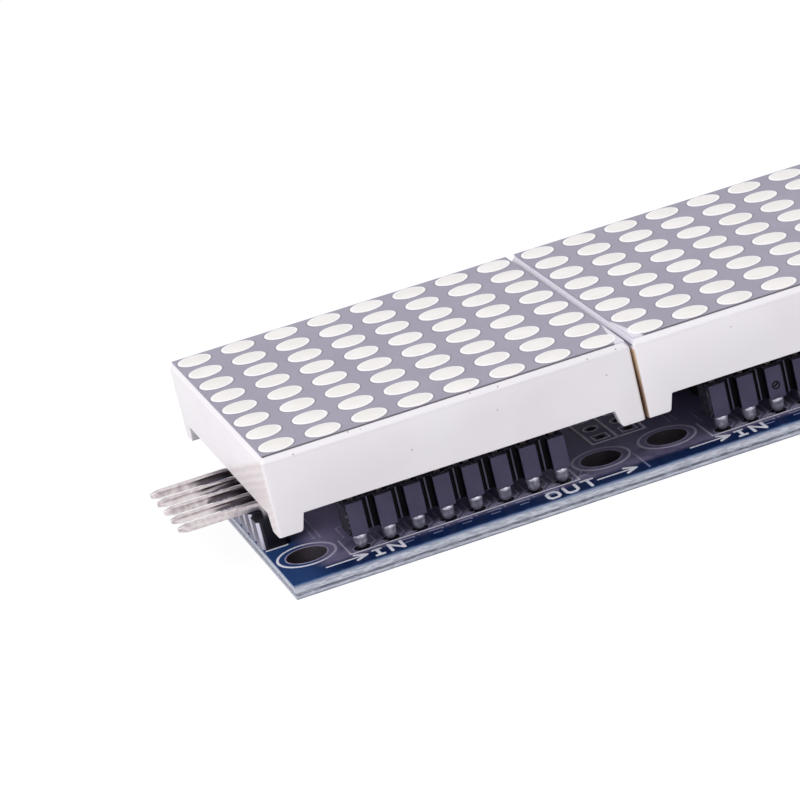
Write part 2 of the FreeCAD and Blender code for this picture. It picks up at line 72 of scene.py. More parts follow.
Colour = tuple[float, float, float, float]
Flat = tuple[float, float]
Solid = tuple[float, float, float]
Material = bpy.types.Material

log = logging.getLogger("led_dot_matrix")


def pigment(red: float, green: float, blue: float) -> Colour:
    """Turn a colour as it looks into the share of light that it gives back.

    Args:
        red: the red part, from 0 to 255, and so on for the others.
        green: the green part.
        blue: the blue part.

    Returns:
        The linear colour with full cover.
    """
    shares = [part / 255 for part in (red, green, blue)]
    light = [share / 12.92 if share <= 0.04045 else ((share + 0.055) / 1.055) ** 2.4 for share in shares]
    return (light[0], light[1], light[2], 1.0)


def reckoner(operation: str, swapped: bool = False) -> Callable[..., "Value"]:
    """Make a method that reckons with a value.

    Args:
        operation: the operation of the Math node that it adds.
        swapped: whether the other operand comes first, as in an operator's reflected form.

    Returns:
        The method.
    """
    def reckon(value: "Value", other: "Value | float" = 0.0) -> "Value":
        """Add a Math node between the value and another operand."""
        first, second = (other, value) if swapped else (value, other)
        return value.graph.node("ShaderNodeMath", {"operation": operation}, {0: first, 1: second})

    return reckon


class Value:
    """A socket that carries a number, and adds a Math node each time it is reckoned with."""

    __add__ = reckoner("ADD")
    __radd__ = reckoner("ADD", swapped=True)
    __sub__ = reckoner("SUBTRACT")
    __rsub__ = reckoner("SUBTRACT", swapped=True)
    __mul__ = reckoner("MULTIPLY")
    __rmul__ = reckoner("MULTIPLY", swapped=True)
    __truediv__ = reckoner("DIVIDE")
    __mod__ = reckoner("FLOORED_MODULO")
    __pow__ = reckoner("POWER")
    __abs__ = reckoner("ABSOLUTE")
    greater = reckoner("MAXIMUM")
    sine = reckoner("SINE")

    def __init__(self, graph: "Graph", socket: bpy.types.NodeSocket) -> None:
        """Hold the socket and the graph that it belongs to."""
        self.graph = graph
        self.socket = socket

    def wrap(self, pitch: float) -> "Value":
        """How far the value lies from the middle of its own pitch."""
        return self % pitch - pitch / 2

    def fade(self, low: float, high: float) -> "Value":
        """A soft step, 0 at low and 1 at high."""
        inputs = {"Value": self, "From Min": low, "From Max": high}
        return self.graph.node("ShaderNodeMapRange", {"interpolation_type": "SMOOTHSTEP"}, inputs)


class Graph:
    """The node tree of one finish, or of the light round the module."""

    def __init__(self, name: str, world: bool = False) -> None:
        """Start a material, or a world, with an empty tree."""
        self.owner = (bpy.data.worlds if world else bpy.data.materials).new(name)
        self.owner.use_nodes = True
        self.tree = self.owner.node_tree
        self.tree.nodes.clear()

    def node(self, kind: str, settings: dict, inputs: dict, output: int | str = 0) -> Value:
        """Add a node to the tree.

        Args:
            kind: the node's type.
            settings: the node's own properties, which are set first.
            inputs: values or links by the socket's name or number.
            output: the socket that is wanted.

        Returns:
            The wanted output.
        """
        node = self.tree.nodes.new(kind)
        for name, setting in settings.items():
            setattr(node, name, setting)
        for name, given in inputs.items():
            if isinstance(given, Value):
                self.tree.links.new(given.socket, node.inputs[name])
            else:
                node.inputs[name].default_value = given
        return Value(self, node.outputs[output])

    def place(self) -> Value:
        """The point on the piece, in the module's own frame."""
        return self.node("ShaderNodeTexCoord", {}, {}, "Object")

    def axes(self) -> tuple[Value, Value, Value]:
        """The three coordinates of the point on the piece."""
        split = self.node("ShaderNodeSeparateXYZ", {}, {0: self.place()}).socket.node
        return tuple(Value(self, socket) for socket in split.outputs)

    def noise(self, size: float, detail: float = 3.0, stretch: Solid = (1.0, 1.0, 1.0)) -> Value:
        """Cloudy noise.

        Args:
            size: how wide its patches are, in metres.
            detail: how many finer layers it has.
            stretch: how much longer the patches are along each axis.

        Returns:
            A value about 0.5.
        """
        scale = tuple(1 / part for part in stretch)
        place = self.node("ShaderNodeMapping", {}, {"Vector": self.place(), "Scale": scale})
        return self.node("ShaderNodeTexNoise", {}, {"Vector": place, "Scale": 1 / size, "Detail": detail})

    def specks(self, spacing: float, size: float, share: float) -> Value:
        """Small round specks, strewn over the piece.

        Args:
            spacing: about how far apart they could lie.
            size: a speck's radius.
            share: the share of places that have one.

        Returns:
            1 on a speck and 0 off it.
        """
        inputs = {"Vector": self.place(), "Scale": 1 / spacing}
        near = self.node("ShaderNodeTexVoronoi", {}, inputs, "Distance")
        lot = self.node("ShaderNodeSeparateColor", {}, {0: Value(self, near.socket.node.outputs["Color"])})
        reach = size / spacing
        return near.fade(reach, 0.6 * reach) * lot.fade(share + 0.01, share)

    def from_centre(self, pitch: float, dot_pitch: float) -> Value:
        """How far the point lies from the middle of the nearest dot, seen from above.

        Args:
            pitch: the displays' pitch along X.
            dot_pitch: the dots' pitch both ways.

        Returns:
            The distance in metres.
        """
        x, y, _ = self.axes()
        across, rearward = x.wrap(pitch).wrap(dot_pitch), y.wrap(dot_pitch)
        return (across * across + rearward * rearward) ** 0.5

    def mix(self, share: Value, first: Value | Colour, second: Value | Colour) -> Value:
        """Blend two colours, from the first at 0 to the second at 1."""
        return self.node("ShaderNodeMix", {"data_type": "RGBA"}, {0: share, 6: first, 7: second}, 2)

    def relief(self, height: Value, depth: float) -> Value:
        """A bumped normal, whose relief is as deep as given, in metres."""
        return self.node("ShaderNodeBump", {}, {"Distance": depth, "Height": height}, "Normal")

    def end(self, shader: Value, kind: str = "ShaderNodeOutputMaterial") -> None:
        """Link a shader to the output."""
        self.tree.links.new(shader.socket, self.tree.nodes.new(kind).inputs["Surface"])

    def surface(self, **inputs: Value | float | Colour) -> Material:
        """End the tree in one shader.

        Args:
            inputs: the shader's sockets, with an underscore for each space.

        Returns:
            The finished material.
        """
        sockets = {name.replace("_", " "): given for name, given in inputs.items()}
        self.end(self.node("ShaderNodeBsdfPrincipled", {}, sockets))
        return self.owner


@dataclass(frozen=True)
class HousingWhite:
    """White moulded plastic. The mould left ripples on the side walls, and painted warm light soaks through the gaps.
    """

    pitch: float
    half: float
    top: float
    last_gap: float
    colour: Colour = pigment(241, 237, 240)
    shade: Colour = pigment(237, 231, 235)
    rim: Colour = pigment(233, 229, 233)
    # Painted light and shade, all but the dirt: lavender on the rims by the gaps, a darker pink over the lower front
    # of the left walls, cream, tan and brown for the glow and shade in the gaps, and a grey-violet shadow line at
    # their front.
    lavender: Colour = pigment(214, 211, 220)
    painted_wall_shade: Colour = pigment(223, 213, 214)
    dirt: Colour = pigment(140, 124, 116)
    cream: Colour = pigment(226, 213, 198)
    tan: Colour = pigment(208, 182, 154)
    brown: Colour = pigment(138, 110, 92)
    gap_shadow: Colour = pigment(104, 100, 122)
    roughness: float = 0.42
    cloud_size: float = 9 * MM
    ripple_slope: float = 0.33
    ripple_pitch: float = 0.7 * MM
    ripple_depth: float = 0.02 * MM
    grain_size: float = 0.35 * MM
    grain_depth: float = 0.004 * MM

    def make(self) -> Material:
        """The finish as a material."""
        graph = Graph("white_plastic")
        x, y, z = graph.axes()
        along = x.wrap(self.pitch)
        depth = self.top - z
        from_left, from_right, from_front = along + self.half, self.half - along, y + self.half
        clouds = graph.noise(self.cloud_size).fade(0.35, 0.7)
        colour = graph.mix(clouds, self.colour, self.shade)

        # Painted shade: the lower front of each left wall, where the mould left its ripples, is painted a darker pink
        # as if less light reached it. The same zone also carries the ripples' relief.
        side = from_left.fade(0.5 * MM, 0.3 * MM) * from_front.fade(0, 0.3 * MM)
        rise = from_front * self.ripple_slope + graph.noise(1.5 * MM) * 0.4 * MM - depth
        rippled_and_shaded = side * rise.fade(0.3 * MM, -0.1 * MM)
        colour = graph.mix(rippled_and_shaded, colour, self.painted_wall_shade)

        on_rim = depth.fade(0.52 * MM, 0.46 * MM)
        colour = graph.mix(on_rim * from_front.fade(0.35 * MM, 0.3 * MM), colour, self.rim)
        # Painted shade: the rim bevels along the gaps are painted lavender, as they lie away from the light.
        near_gap = abs(x).fade(self.last_gap + 9 * MM, self.last_gap + 6 * MM)
        on_edge = depth.fade(0.84 * MM, 0.78 * MM)
        gap_rim = on_edge * (self.half - abs(along)).fade(0.35 * MM, 0.3 * MM) * from_front.fade(0.05 * MM, 0.25 * MM)
        colour = graph.mix(near_gap * gap_rim, colour, self.lavender)
        # Painted light and shade in the gaps: a cream edge on the right wall. On the left wall, warm tan light soaks
        # through the plastic and turns to brown shade further down.
        between = near_gap * (1 - on_edge)
        colour = graph.mix(between * from_right.fade(0.16 * MM, 0.06 * MM), colour, self.cream)
        painted_glow = graph.mix(depth.fade(5 * MM, MM), self.brown, self.tan)
        colour = graph.mix(between * from_left.fade(0.2 * MM, 0.08 * MM), colour, painted_glow)
        # Painted shadow: a thin grey-violet line just under the rim of each left wall by a gap, near the front, where
        # the gap's shadow falls.
        in_gap_shadow = depth.fade(0.54 * MM, 0.5 * MM) * depth.fade(0.38 * MM, 0.44 * MM)
        in_gap_shadow = in_gap_shadow * from_left.fade(0.14 * MM, 0.1 * MM)
        at_front = from_front.fade(8 * MM, 4 * MM) * from_front.fade(0.1 * MM, 0.3 * MM)
        colour = graph.mix(near_gap * in_gap_shadow * at_front, colour, self.gap_shadow)

        specks = graph.specks(1.6 * MM, 0.085 * MM, 0.6)
        rim_specks = graph.specks(0.8 * MM, 0.09 * MM, 0.3) * depth.fade(0.8 * MM, 0.5 * MM)
        colour = graph.mix(specks.greater(rim_specks) * 0.75, colour, self.dirt)

        level = z + y * self.ripple_slope + graph.noise(3 * MM) * self.ripple_pitch
        ripples = (level * (math.tau / self.ripple_pitch)).sine() * rippled_and_shaded * (self.ripple_depth / self.grain_depth)
        dents = graph.noise(1.3 * MM) * depth.fade(0.7 * MM, 0.4 * MM) * 14
        normal = graph.relief(ripples + dents + graph.noise(self.grain_size), self.grain_depth)
        return graph.surface(Base_Color=colour, Roughness=self.roughness, Normal=normal)


@dataclass(frozen=True)
class FacePrint:
    """The grey film of the face, matt and a little uneven, with a dark line along its front edge.

    At the front of the first gap both films end short of their corners.
    """

    front: float
    pitch: float
    first_gap: float
    margin: float
    colour: Colour = pigment(158, 153, 169)
    shade: Colour = pigment(150, 145, 162)
    line: Colour = pigment(108, 99, 112)
    ring: Colour = pigment(122, 116, 128)
    glint: Colour = pigment(225, 222, 228)
    bare: Colour = pigment(226, 222, 232)
    bare_width: float = 0.9 * MM
    bare_length: float = 6.0 * MM
    dot_pitch: float = 4.0 * MM
    dot_radius: float = 1.5 * MM
    roughness: float = 0.55
    cloud_size: float = 6 * MM
    line_width: float = 0.16 * MM
    grain_size: float = 0.12 * MM
    grain_depth: float = 0.002 * MM

    def make(self) -> Material:
        """The finish as a material."""
        graph = Graph("grey_print")
        x, y, _ = graph.axes()
        from_front = y - self.front
        clouds = graph.noise(self.cloud_size).fade(0.3, 0.7)
        grain = graph.noise(self.grain_size)
        colour = graph.mix(clouds * 0.6 + grain.fade(0.3, 0.7) * 0.4, self.colour, self.shade)
        colour = graph.mix(graph.specks(2.6 * MM, 0.05 * MM, 0.25) * 0.7, colour, self.glint)
        from_dot = graph.from_centre(self.pitch, self.dot_pitch) - self.dot_radius
        colour = graph.mix(from_dot.fade(0.18 * MM, 0.04 * MM) * 0.8, colour, self.ring)
        colour = graph.mix(from_front.fade(self.line_width, 0.5 * self.line_width), colour, self.line)
        reach = (abs(x - self.first_gap) - self.margin) / self.bare_width + from_front / self.bare_length
        colour = graph.mix(reach.fade(1.05, 0.85), colour, self.bare)
        return graph.surface(Base_Color=colour, Roughness=self.roughness, Normal=graph.relief(grain, self.grain_depth))


@dataclass(frozen=True)
class DotResin:
    """The cream resin of the dots, with the reflector's white edge round each one."""

    pitch: float
    dot_pitch: float = 4.0 * MM
    radius: float = 1.5 * MM
    edge_width: float = 0.24 * MM
    colour: Colour = pigment(244, 240, 237)
    shade: Colour = pigment(238, 234, 229)
    edge: Colour = pigment(254, 253, 253)
    roughness: float = 0.24

    def make(self) -> Material:
        """The finish as a material."""
        graph = Graph("cream_resin")
        inward = self.radius - graph.from_centre(self.pitch, self.dot_pitch)
        body = graph.mix(graph.noise(2.5 * MM).fade(0.35, 0.65), self.colour, self.shade)
        colour = graph.mix(inward.fade(self.edge_width, 0.7 * self.edge_width), body, self.edge)
        return graph.surface(Base_Color=colour, Roughness=self.roughness)


@dataclass(frozen=True)
class DarkPlastic:
    """Dark moulded plastic, for sockets, header and chips."""

    name: str
    colour: Colour
    shade: Colour
    roughness: float
    shine: float = 0.3
    grain_size: float = 0.15 * MM
    grain_depth: float = 0.003 * MM
    dust: Colour = pigment(130, 126, 136)
    dust_share: float = 0.1

    def make(self) -> Material:
        """The finish as a material."""
        graph = Graph(self.name)
        clouds = graph.noise(1.5 * MM).fade(0.3, 0.7)
        dust = graph.specks(0.55 * MM, 0.035 * MM, self.dust_share)
        colour = graph.mix(dust * 0.5, graph.mix(clouds, self.colour, self.shade), self.dust)
        grain = graph.noise(self.grain_size)
        roughness = clouds * 0.08 + self.roughness
        normal = graph.relief(grain, self.grain_depth)
        return graph.surface(Base_Color=colour, Roughness=roughness, Specular_IOR_Level=self.shine, Normal=normal)


@dataclass(frozen=True)
class HeaderSide:
    """The header's side towards the input, with painted light and shade: pale where the light grazes it and dark down
    in the notches.
    """

    name: str
    face: float
    pale: Colour = pigment(92, 90, 106)
    grey: Colour = pigment(124, 122, 138)
    dark: Colour = pigment(34, 31, 42)

    def make(self) -> Material:
        """The finish as a material."""
        graph = Graph(self.name)
        x, _, z = graph.axes()
        # Painted light and shade: one tone above and another below, as the light grazes the side, and dark shade
        # beyond a set depth into the notches.
        colour = graph.mix(z.fade(2.6 * MM, 1.4 * MM), self.pale, self.grey)
        colour = graph.mix(x.fade(self.face + 0.12 * MM, self.face + 0.2 * MM), colour, self.dark)
        return graph.surface(Base_Color=colour, Roughness=0.5, Specular_IOR_Level=0.15,
                             Normal=graph.relief(graph.noise(0.2 * MM), 0.004 * MM))


@dataclass(frozen=True)
class TornPlastic:
    """Dark plastic that was snapped off or left rough: brownish and mottled."""

    colour: Colour = pigment(50, 46, 60)
    pale: Colour = pigment(138, 131, 146)
    grain_size: float = 0.22 * MM
    grain_depth: float = 0.06 * MM

    def make(self) -> Material:
        """The finish as a material."""
        graph = Graph("torn_plastic")
        mottle = graph.noise(self.grain_size, 5.0)
        colour = graph.mix(mottle.fade(0.56, 0.74), self.colour, self.pale)
        normal = graph.relief(mottle, self.grain_depth)
        return graph.surface(Base_Color=colour, Roughness=0.7, Specular_IOR_Level=0.2, Normal=normal)


@dataclass(frozen=True)
class SolderMask:
    """Blue lacquer over the board, painted like slate where the displays shade it, and painted lighter again deep
    under them.
    """

    half_width: float
    half_length: float
    blue: Colour = pigment(12, 32, 72)
    corner: Colour = pigment(34, 60, 106)
    pale: Colour = pigment(84, 106, 146)
    slate: Colour = pigment(124, 118, 148)
    shade: Colour = pigment(106, 100, 130)
    deep: Colour = pigment(132, 125, 158)
    shine: float = 0.04
    roughness: float = 0.42
    weave_pitch: float = 0.45 * MM
    weave_depth: float = 0.003 * MM

    def make(self) -> Material:
        """The finish as a material."""
        graph = Graph("blue_mask")
        x, y, _ = graph.axes()
        inward = (self.half_width - abs(y)) + graph.noise(0.7 * MM) * 0.5 * MM
        from_end = self.half_length - abs(x)
        # Painted shade: the lacquer is painted from blue to slate where the displays shade it.
        shaded = inward.fade(2.0 * MM, 3.2 * MM) * from_end.fade(2.4 * MM, 4.6 * MM)
        clouds = graph.noise(0.9 * MM, 4.0).fade(0.35, 0.7)
        blue = graph.mix((x + self.half_length).fade(5 * MM, MM), self.blue, self.corner)
        blue = graph.mix(inward.fade(0.7 * MM, 0.25 * MM), blue, self.pale)
        # Painted light: deep under the displays the slate is painted lighter, for the light that fills the shade
        # there.
        slate = graph.mix(inward.fade(5 * MM, 8 * MM), graph.mix(clouds, self.slate, self.shade), self.deep)
        colour = graph.mix(shaded, blue, slate)
        turns = math.tau / self.weave_pitch
        weave = (x * turns).sine() * (y * turns).sine()
        normal = graph.relief(weave + graph.noise(0.5 * MM) * 2, self.weave_depth)
        roughness = clouds * 0.1 + self.roughness
        return graph.surface(Base_Color=colour, Roughness=roughness, Specular_IOR_Level=self.shine, Normal=normal)


@dataclass(frozen=True)
class OverCopper:
    """The lacquer over a track or round a hole, where the copper makes it paler, painted slate where the displays
    shade it.
    """

    half_width: float
    blue: Colour = pigment(124, 136, 174)
    slate: Colour = pigment(166, 160, 188)
    worn: Colour = pigment(104, 99, 128)

    def make(self) -> Material:
        """The finish as a material."""
        graph = Graph("mask_over_copper")
        inward = self.half_width - abs(graph.axes()[1])
        worn = graph.noise(0.9 * MM).fade(0.45, 0.7) * 0.5
        # Painted shade: blue near the edges, slate under the displays.
        colour = graph.mix(inward.fade(1.8 * MM, 2.8 * MM), self.blue, self.slate)
        colour = graph.mix(worn, colour, self.worn)
        return graph.surface(Base_Color=colour, Roughness=0.35, Specular_IOR_Level=0.06)


@dataclass(frozen=True)
class LaminateEdge:
    """The sawn edge of the glass fibre board: pale, with broken grey lines where the layers part."""

    thickness: float
    pale: Colour = pigment(160, 163, 177)
    white: Colour = pigment(205, 208, 219)
    grey: Colour = pigment(94, 96, 110)
    bleed: Colour = pigment(124, 136, 164)

    def make(self) -> Material:
        """The finish as a material."""
        graph = Graph("laminate_edge")
        streaks = graph.noise(0.3 * MM, 5.0, (6.0, 6.0, 0.6))
        fibres = graph.noise(0.07 * MM, 3.0, (9.0, 9.0, 1.0))
        height = graph.axes()[2] / self.thickness
        level = height + (streaks - 0.5) * 0.14
        base = graph.mix(fibres.fade(0.38, 0.62), self.pale, self.white)
        base = graph.mix(height.fade(0.78, 0.96), base, self.bleed)
        middle = level.fade(0.22, 0.32) * level.fade(0.5, 0.4) * fibres.fade(0.34, 0.52)
        lowest = height.fade(0.16, 0.04) * 0.75
        colour = graph.mix(middle.greater(lowest), base, self.grey)
        return graph.surface(Base_Color=colour, Roughness=0.7, Normal=graph.relief(streaks, 0.05 * MM))


@dataclass(frozen=True)
class Tin:
    """Tin over metal, from silver to a warm grey, with fine dark specks."""

    name: str
    bright: Colour = pigment(216, 210, 210)
    warm: Colour = pigment(190, 178, 174)
    speck: Colour = pigment(104, 92, 90)
    roughness: float = 0.3
    mottle_size: float = 0.5 * MM
    relief_depth: float = 0.006 * MM
    metal: float = 1.0

    def tint(self, graph: Graph) -> Value:
        """The metal's varying colour."""
        mottle = graph.noise(self.mottle_size, 4.0)
        colour = graph.mix(mottle.fade(0.3, 0.7), self.bright, self.warm)
        return graph.mix(graph.specks(0.4 * MM, 0.045 * MM, 0.22) * 0.8, colour, self.speck)

    def make(self) -> Material:
        """The finish as a material."""
        graph = Graph(self.name)
        mottle = graph.noise(self.mottle_size, 4.0)
        normal = graph.relief(mottle, self.relief_depth)
        return graph.surface(Base_Color=self.tint(graph), Roughness=self.roughness, Metallic=self.metal, Normal=normal)


@dataclass(frozen=True)
class PinTin(Tin):
    """The header pins' tin, with a painted reflection of the dark strip and of the shade under the first display."""

    dark_from: float = -67.0 * MM
    dark_to: float = -66.2 * MM
    top: float = 5.2 * MM
    front_pin: float = -4.4 * MM
    dark: Colour = pigment(80, 70, 78)
    streak: Colour = pigment(232, 224, 224)

    def tint(self, graph: Graph) -> Value:
        """The metal's colour, with the painted reflection dark near the strip, and streaked along the pins."""
        streaks = graph.noise(0.34 * MM, 2.0, (12.0, 1.0, 1.0))
        patches = graph.noise(1.3 * MM, 2.0)
        x, y, z = graph.axes()
        place = x + (patches - 0.5) * 2.0 * MM + (streaks - 0.5) * 1.2 * MM
        # Painted reflection: behind the front pin and below the pins' top, the tin is painted dark where it would
        # mirror the strip and the shade.
        behind = y.fade(self.front_pin, self.front_pin + 0.2 * MM)
        lower = z.fade(self.top - 0.03 * MM, self.top - 0.1 * MM)
        mirrored = place.fade(self.dark_from, self.dark_to) * (1 - streaks.fade(0.56, 0.68) * 0.7) * behind * lower
        metal = graph.mix(streaks.fade(0.52, 0.66) * 0.6, super().tint(graph), self.streak)
        return graph.mix(mirrored * 0.92, metal, self.dark)


@dataclass(frozen=True)
class SolderTin(Tin):
    """The joints' solder, with painted shade that darkens it towards the board."""

    foot: float = 1.25 * MM
    clear: float = 1.95 * MM
    dark: Colour = pigment(48, 46, 58)

    def tint(self, graph: Graph) -> Value:
        """The metal's colour, painted dark near the foot as shade."""
        return graph.mix(graph.axes()[2].fade(self.clear, self.foot), super().tint(graph), self.dark)


@dataclass(frozen=True)
class Ink:
    """White printing ink, with painted light and shade: bright along the front and the input end, grey where the
    displays shade it, and bright again deep under them.
    """

    half_width: float
    half_length: float
    colour: Colour = pigment(232, 232, 242)
    thin: Colour = pigment(176, 178, 198)
    shaded: Colour = pigment(190, 186, 208)
    deep: Colour = pigment(250, 246, 255)

    def make(self) -> Material:
        """The finish as a material."""
        graph = Graph("white_ink")
        x, y, _ = graph.axes()
        wear = graph.noise(0.25 * MM, 3.0).fade(0.5, 0.75)
        inward = self.half_width - abs(y)
        front = inward.fade(3.4 * MM, 3.0 * MM)
        left = (x + self.half_length).fade(4.6 * MM, 2.2 * MM) * 0.9
        colour = graph.mix(wear * 0.6, self.colour, self.thin)
        # Painted shade under the displays, and painted light again deep under them.
        shaded = graph.mix(inward.fade(8.5 * MM, 9.5 * MM), self.shaded, self.deep)
        return graph.surface(Base_Color=graph.mix(front.greater(left), shaded, colour), Roughness=0.6)


@dataclass(frozen=True)
class Smooth:
    """A plain smooth stuff with slow clouds: poured resin, bare laminate or a drilled wall."""

    name: str
    colour: Colour
    shade: Colour
    roughness: float = 0.18
    wave: float = 0.2 * MM

    def make(self) -> Material:
        """The finish as a material."""
        graph = Graph(self.name)
        clouds = graph.noise(3 * MM)
        colour = graph.mix(clouds.fade(0.3, 0.7), self.colour, self.shade)
        return graph.surface(Base_Color=colour, Roughness=self.roughness, Normal=graph.relief(clouds, self.wave))


class Pick(Enum):
    """What is selected in edit mode."""

    POINTS = "VERT"
    EDGES = "EDGE"
    FACES = "FACE"


class Workpiece:
    """A mesh on the bench. Each method is one step of the work on it."""

    def __init__(self, piece: bpy.types.Object) -> None:
        """Hold the object that is worked on."""
        self.piece = piece

    @staticmethod
    def clear() -> None:
        """Leave nothing selected."""
        bpy.ops.object.select_all(action="DESELECT")

    @classmethod
    def settled(cls) -> "Workpiece":
        """Take up the object that was just added, and put its place into its mesh."""
        work = cls(bpy.context.active_object)
        work.settle()
        return work

    @classmethod
    def block(cls, low: Vector, high: Vector) -> "Workpiece":
        """Start from a block between its lowest and its highest corner."""
        cls.clear()
        bpy.ops.mesh.primitive_cube_add(size=1, location=(low + high) / 2, scale=high - low)
        return cls.settled()

    @classmethod
    def disc(cls, middle: Vector, radius: float, sides: int) -> "Workpiece":
        """Start from a flat disc that faces up, with so many sides."""
        cls.clear()
        bpy.ops.mesh.primitive_circle_add(vertices=sides, radius=radius, fill_type="NGON", location=middle)
        return cls.settled()

    @classmethod
    def turned(cls, foot: Vector, stations: list[Flat], sides: int) -> "Workpiece":
        """Build a round piece upwards, ring by ring.

        Args:
            foot: the centre of its underside.
            stations: the radius and the height above the foot of each ring.
            sides: how many sides a ring has.

        Returns:
            The closed workpiece.
        """
        work = cls.disc(foot + Vector((0, 0, stations[0][1])), stations[0][0], sides)
        with work.editing(Pick.FACES, everything=True):
            for (radius, height), (next_radius, next_height) in zip(stations, stations[1:]):
                work.extrude(Vector((0, 0, next_height - height)))
                ratio = next_radius / radius
                centre = foot + Vector((0, 0, next_height))
                bpy.ops.transform.resize(value=(ratio, ratio, 1), center_override=centre)
        work.face_outwards()
        return work

    @classmethod
    def ring(cls, middle: Vector, radii: Flat, height: float, sides: int) -> "Workpiece":
        """Build a flat ring.

        Args:
            middle: the centre of its underside.
            radii: its inner and its outer radius.
            height: how thick it is.
            sides: how many sides it has.

        Returns:
            The closed workpiece.
        """
        inner, outer = radii
        work = cls.disc(middle, outer, sides)
        with work.editing(Pick.FACES, everything=True):
            bpy.ops.mesh.inset(thickness=outer - inner)
            bpy.ops.mesh.delete(type="FACE")
            bpy.ops.mesh.select_all(action="SELECT")
            work.extrude(Vector((0, 0, height)))
        work.face_outwards()
        return work

    @classmethod
    def stroke(cls, start: Vector, end: Vector, width: float, height: float) -> "Workpiece":
        """Build a thin flat stroke with round ends.

        Args:
            start: where its middle line starts, at its underside.
            end: where its middle line ends.
            width: how wide it is.
            height: how thick it is.

        Returns:
            The closed workpiece.
        """
        run = end - start
        middle = (start + end) / 2 + Vector((0, 0, height / 2))
        half = Vector(((run.length + width) / 2, width / 2, height / 2))
        work = cls.block(-half, half)
        with work.editing(Pick.EDGES):
            work.pick_edges(lambda one, other: abs(one.z - other.z) > height / 2)
            bpy.ops.mesh.bevel(offset=ROUND_END * width, segments=3)
        work.turn_to(middle, math.atan2(run.y, run.x), "Z")
        return work

    @classmethod
    def from_node(cls, node: bpy.types.Object) -> "Workpiece":
        """Start from a merged copy of a solid of the frame, with its flat faces whole.

        Args:
            node: the solid that is copied and stays as it is.

        Returns:
            The new workpiece.
        """
        piece = bpy.data.objects.new("copy", node.data.copy())
        bpy.context.scene.collection.objects.link(piece)
        work = cls(piece)
        with work.editing(Pick.FACES, everything=True):
            bpy.ops.mesh.remove_doubles(threshold=0.001 * MM)
            bpy.ops.mesh.dissolve_limited(angle_limit=math.radians(1))
        return work

    @classmethod
    def joined(cls, works: list["Workpiece"]) -> "Workpiece":
        """Make one workpiece of several."""
        works[0].choose()
        for work in works[1:]:
            work.piece.select_set(True)
        bpy.ops.object.join()
        return works[0]

    def choose(self) -> None:
        """Select this piece alone."""
        self.clear()
        self.piece.select_set(True)
        bpy.context.view_layer.objects.active = self.piece

    def settle(self) -> None:
        """Put the piece's place and turn into its mesh."""
        self.choose()
        bpy.ops.object.transform_apply(location=True, rotation=True, scale=True)

    def turn_to(self, place: Vector, angle: float, axis: str) -> None:
        """Turn the piece about an axis through the origin, and move it to its place."""
        self.piece.matrix_world = Matrix.Translation(place) @ Matrix.Rotation(angle, 4, axis)
        self.settle()

    @contextmanager
    def editing(self, pick: Pick, everything: bool = False) -> Iterator[None]:
        """Open the mesh for editing, with nothing or everything selected, and close it again."""
        self.choose()
        bpy.ops.object.mode_set(mode="EDIT")
        bpy.ops.mesh.select_mode(type=pick.value)
        bpy.ops.mesh.select_all(action="SELECT" if everything else "DESELECT")
        yield
        bpy.ops.object.mode_set(mode="OBJECT")

    def pick(self, parts: str, test: Callable[..., bool]) -> None:
        """Select the mesh's faces, edges or points that pass a test, and no others."""
        mesh = bmesh.from_edit_mesh(self.piece.data)
        for part in getattr(mesh, parts):
            part.select_set(test(part))
        bmesh.update_edit_mesh(self.piece.data)

    def pick_faces(self, test: Callable[[Vector, Vector], bool]) -> None:
        """Select by a test of a face's centre and normal."""
        self.pick("faces", lambda face: test(face.calc_center_median(), face.normal))

    def pick_edges(self, test: Callable[[Vector, Vector], bool]) -> None:
        """Select by a test of an edge's two ends."""
        self.pick("edges", lambda edge: test(edge.verts[0].co, edge.verts[1].co))

    def pick_points(self, test: Callable[[Vector], bool]) -> None:
        """Select by a test of a point's place."""
        self.pick("verts", lambda point: test(point.co))

    @staticmethod
    def extrude(offset: Vector) -> None:
        """Pull what is selected out into new faces."""
        bpy.ops.mesh.extrude_region_move(TRANSFORM_OT_translate={"value": offset})

    def bisect(self, point: Vector, normal: Vector) -> None:
        """Cut the whole mesh along a plane, and keep both sides."""
        bpy.ops.mesh.select_all(action="SELECT")
        bpy.ops.mesh.bisect(plane_co=point, plane_no=normal, threshold=0.0001 * MM)

    def face_outwards(self) -> None:
        """Turn every face outwards."""
        with self.editing(Pick.FACES, everything=True):
            bpy.ops.mesh.normals_make_consistent(inside=False)

    def apply(self, kind: str, **settings: object) -> None:
        """Put a modifier on the piece and apply it.

        Args:
            kind: the modifier's type.
            settings: its properties.
        """
        modifier = self.piece.modifiers.new(kind.lower(), kind)
        for name, setting in settings.items():
            setattr(modifier, name, setting)
        self.choose()
        bpy.ops.object.modifier_apply(modifier=modifier.name)

    def cut_with(self, tool: "Workpiece") -> None:
        """Take a tool's shape away, and then the tool off the bench."""
        self.apply("BOOLEAN", operation="DIFFERENCE", object=tool.piece, solver="EXACT")
        bpy.data.objects.remove(tool.piece)

    def smooth(self, angle: float = 40.0) -> None:
        """Shade the piece smooth across edges up to an angle in degrees."""
        self.choose()
        bpy.ops.object.shade_smooth_by_angle(angle=math.radians(angle))

    def soften(self, width: float, segments: int = 2) -> None:
        """Round every sharp edge, and shade the piece smooth up to it."""
        self.apply("BEVEL", width=width, segments=segments, limit_method="ANGLE",
                   angle_limit=math.radians(SHARP), use_clamp_overlap=True)
        self.smooth()

    def repeat(self, offset: Vector, count: int) -> None:
        """Repeat the piece in a row within its own mesh."""
        self.apply("ARRAY", count=count, use_relative_offset=False, use_constant_offset=True,
                   constant_offset_displace=offset)

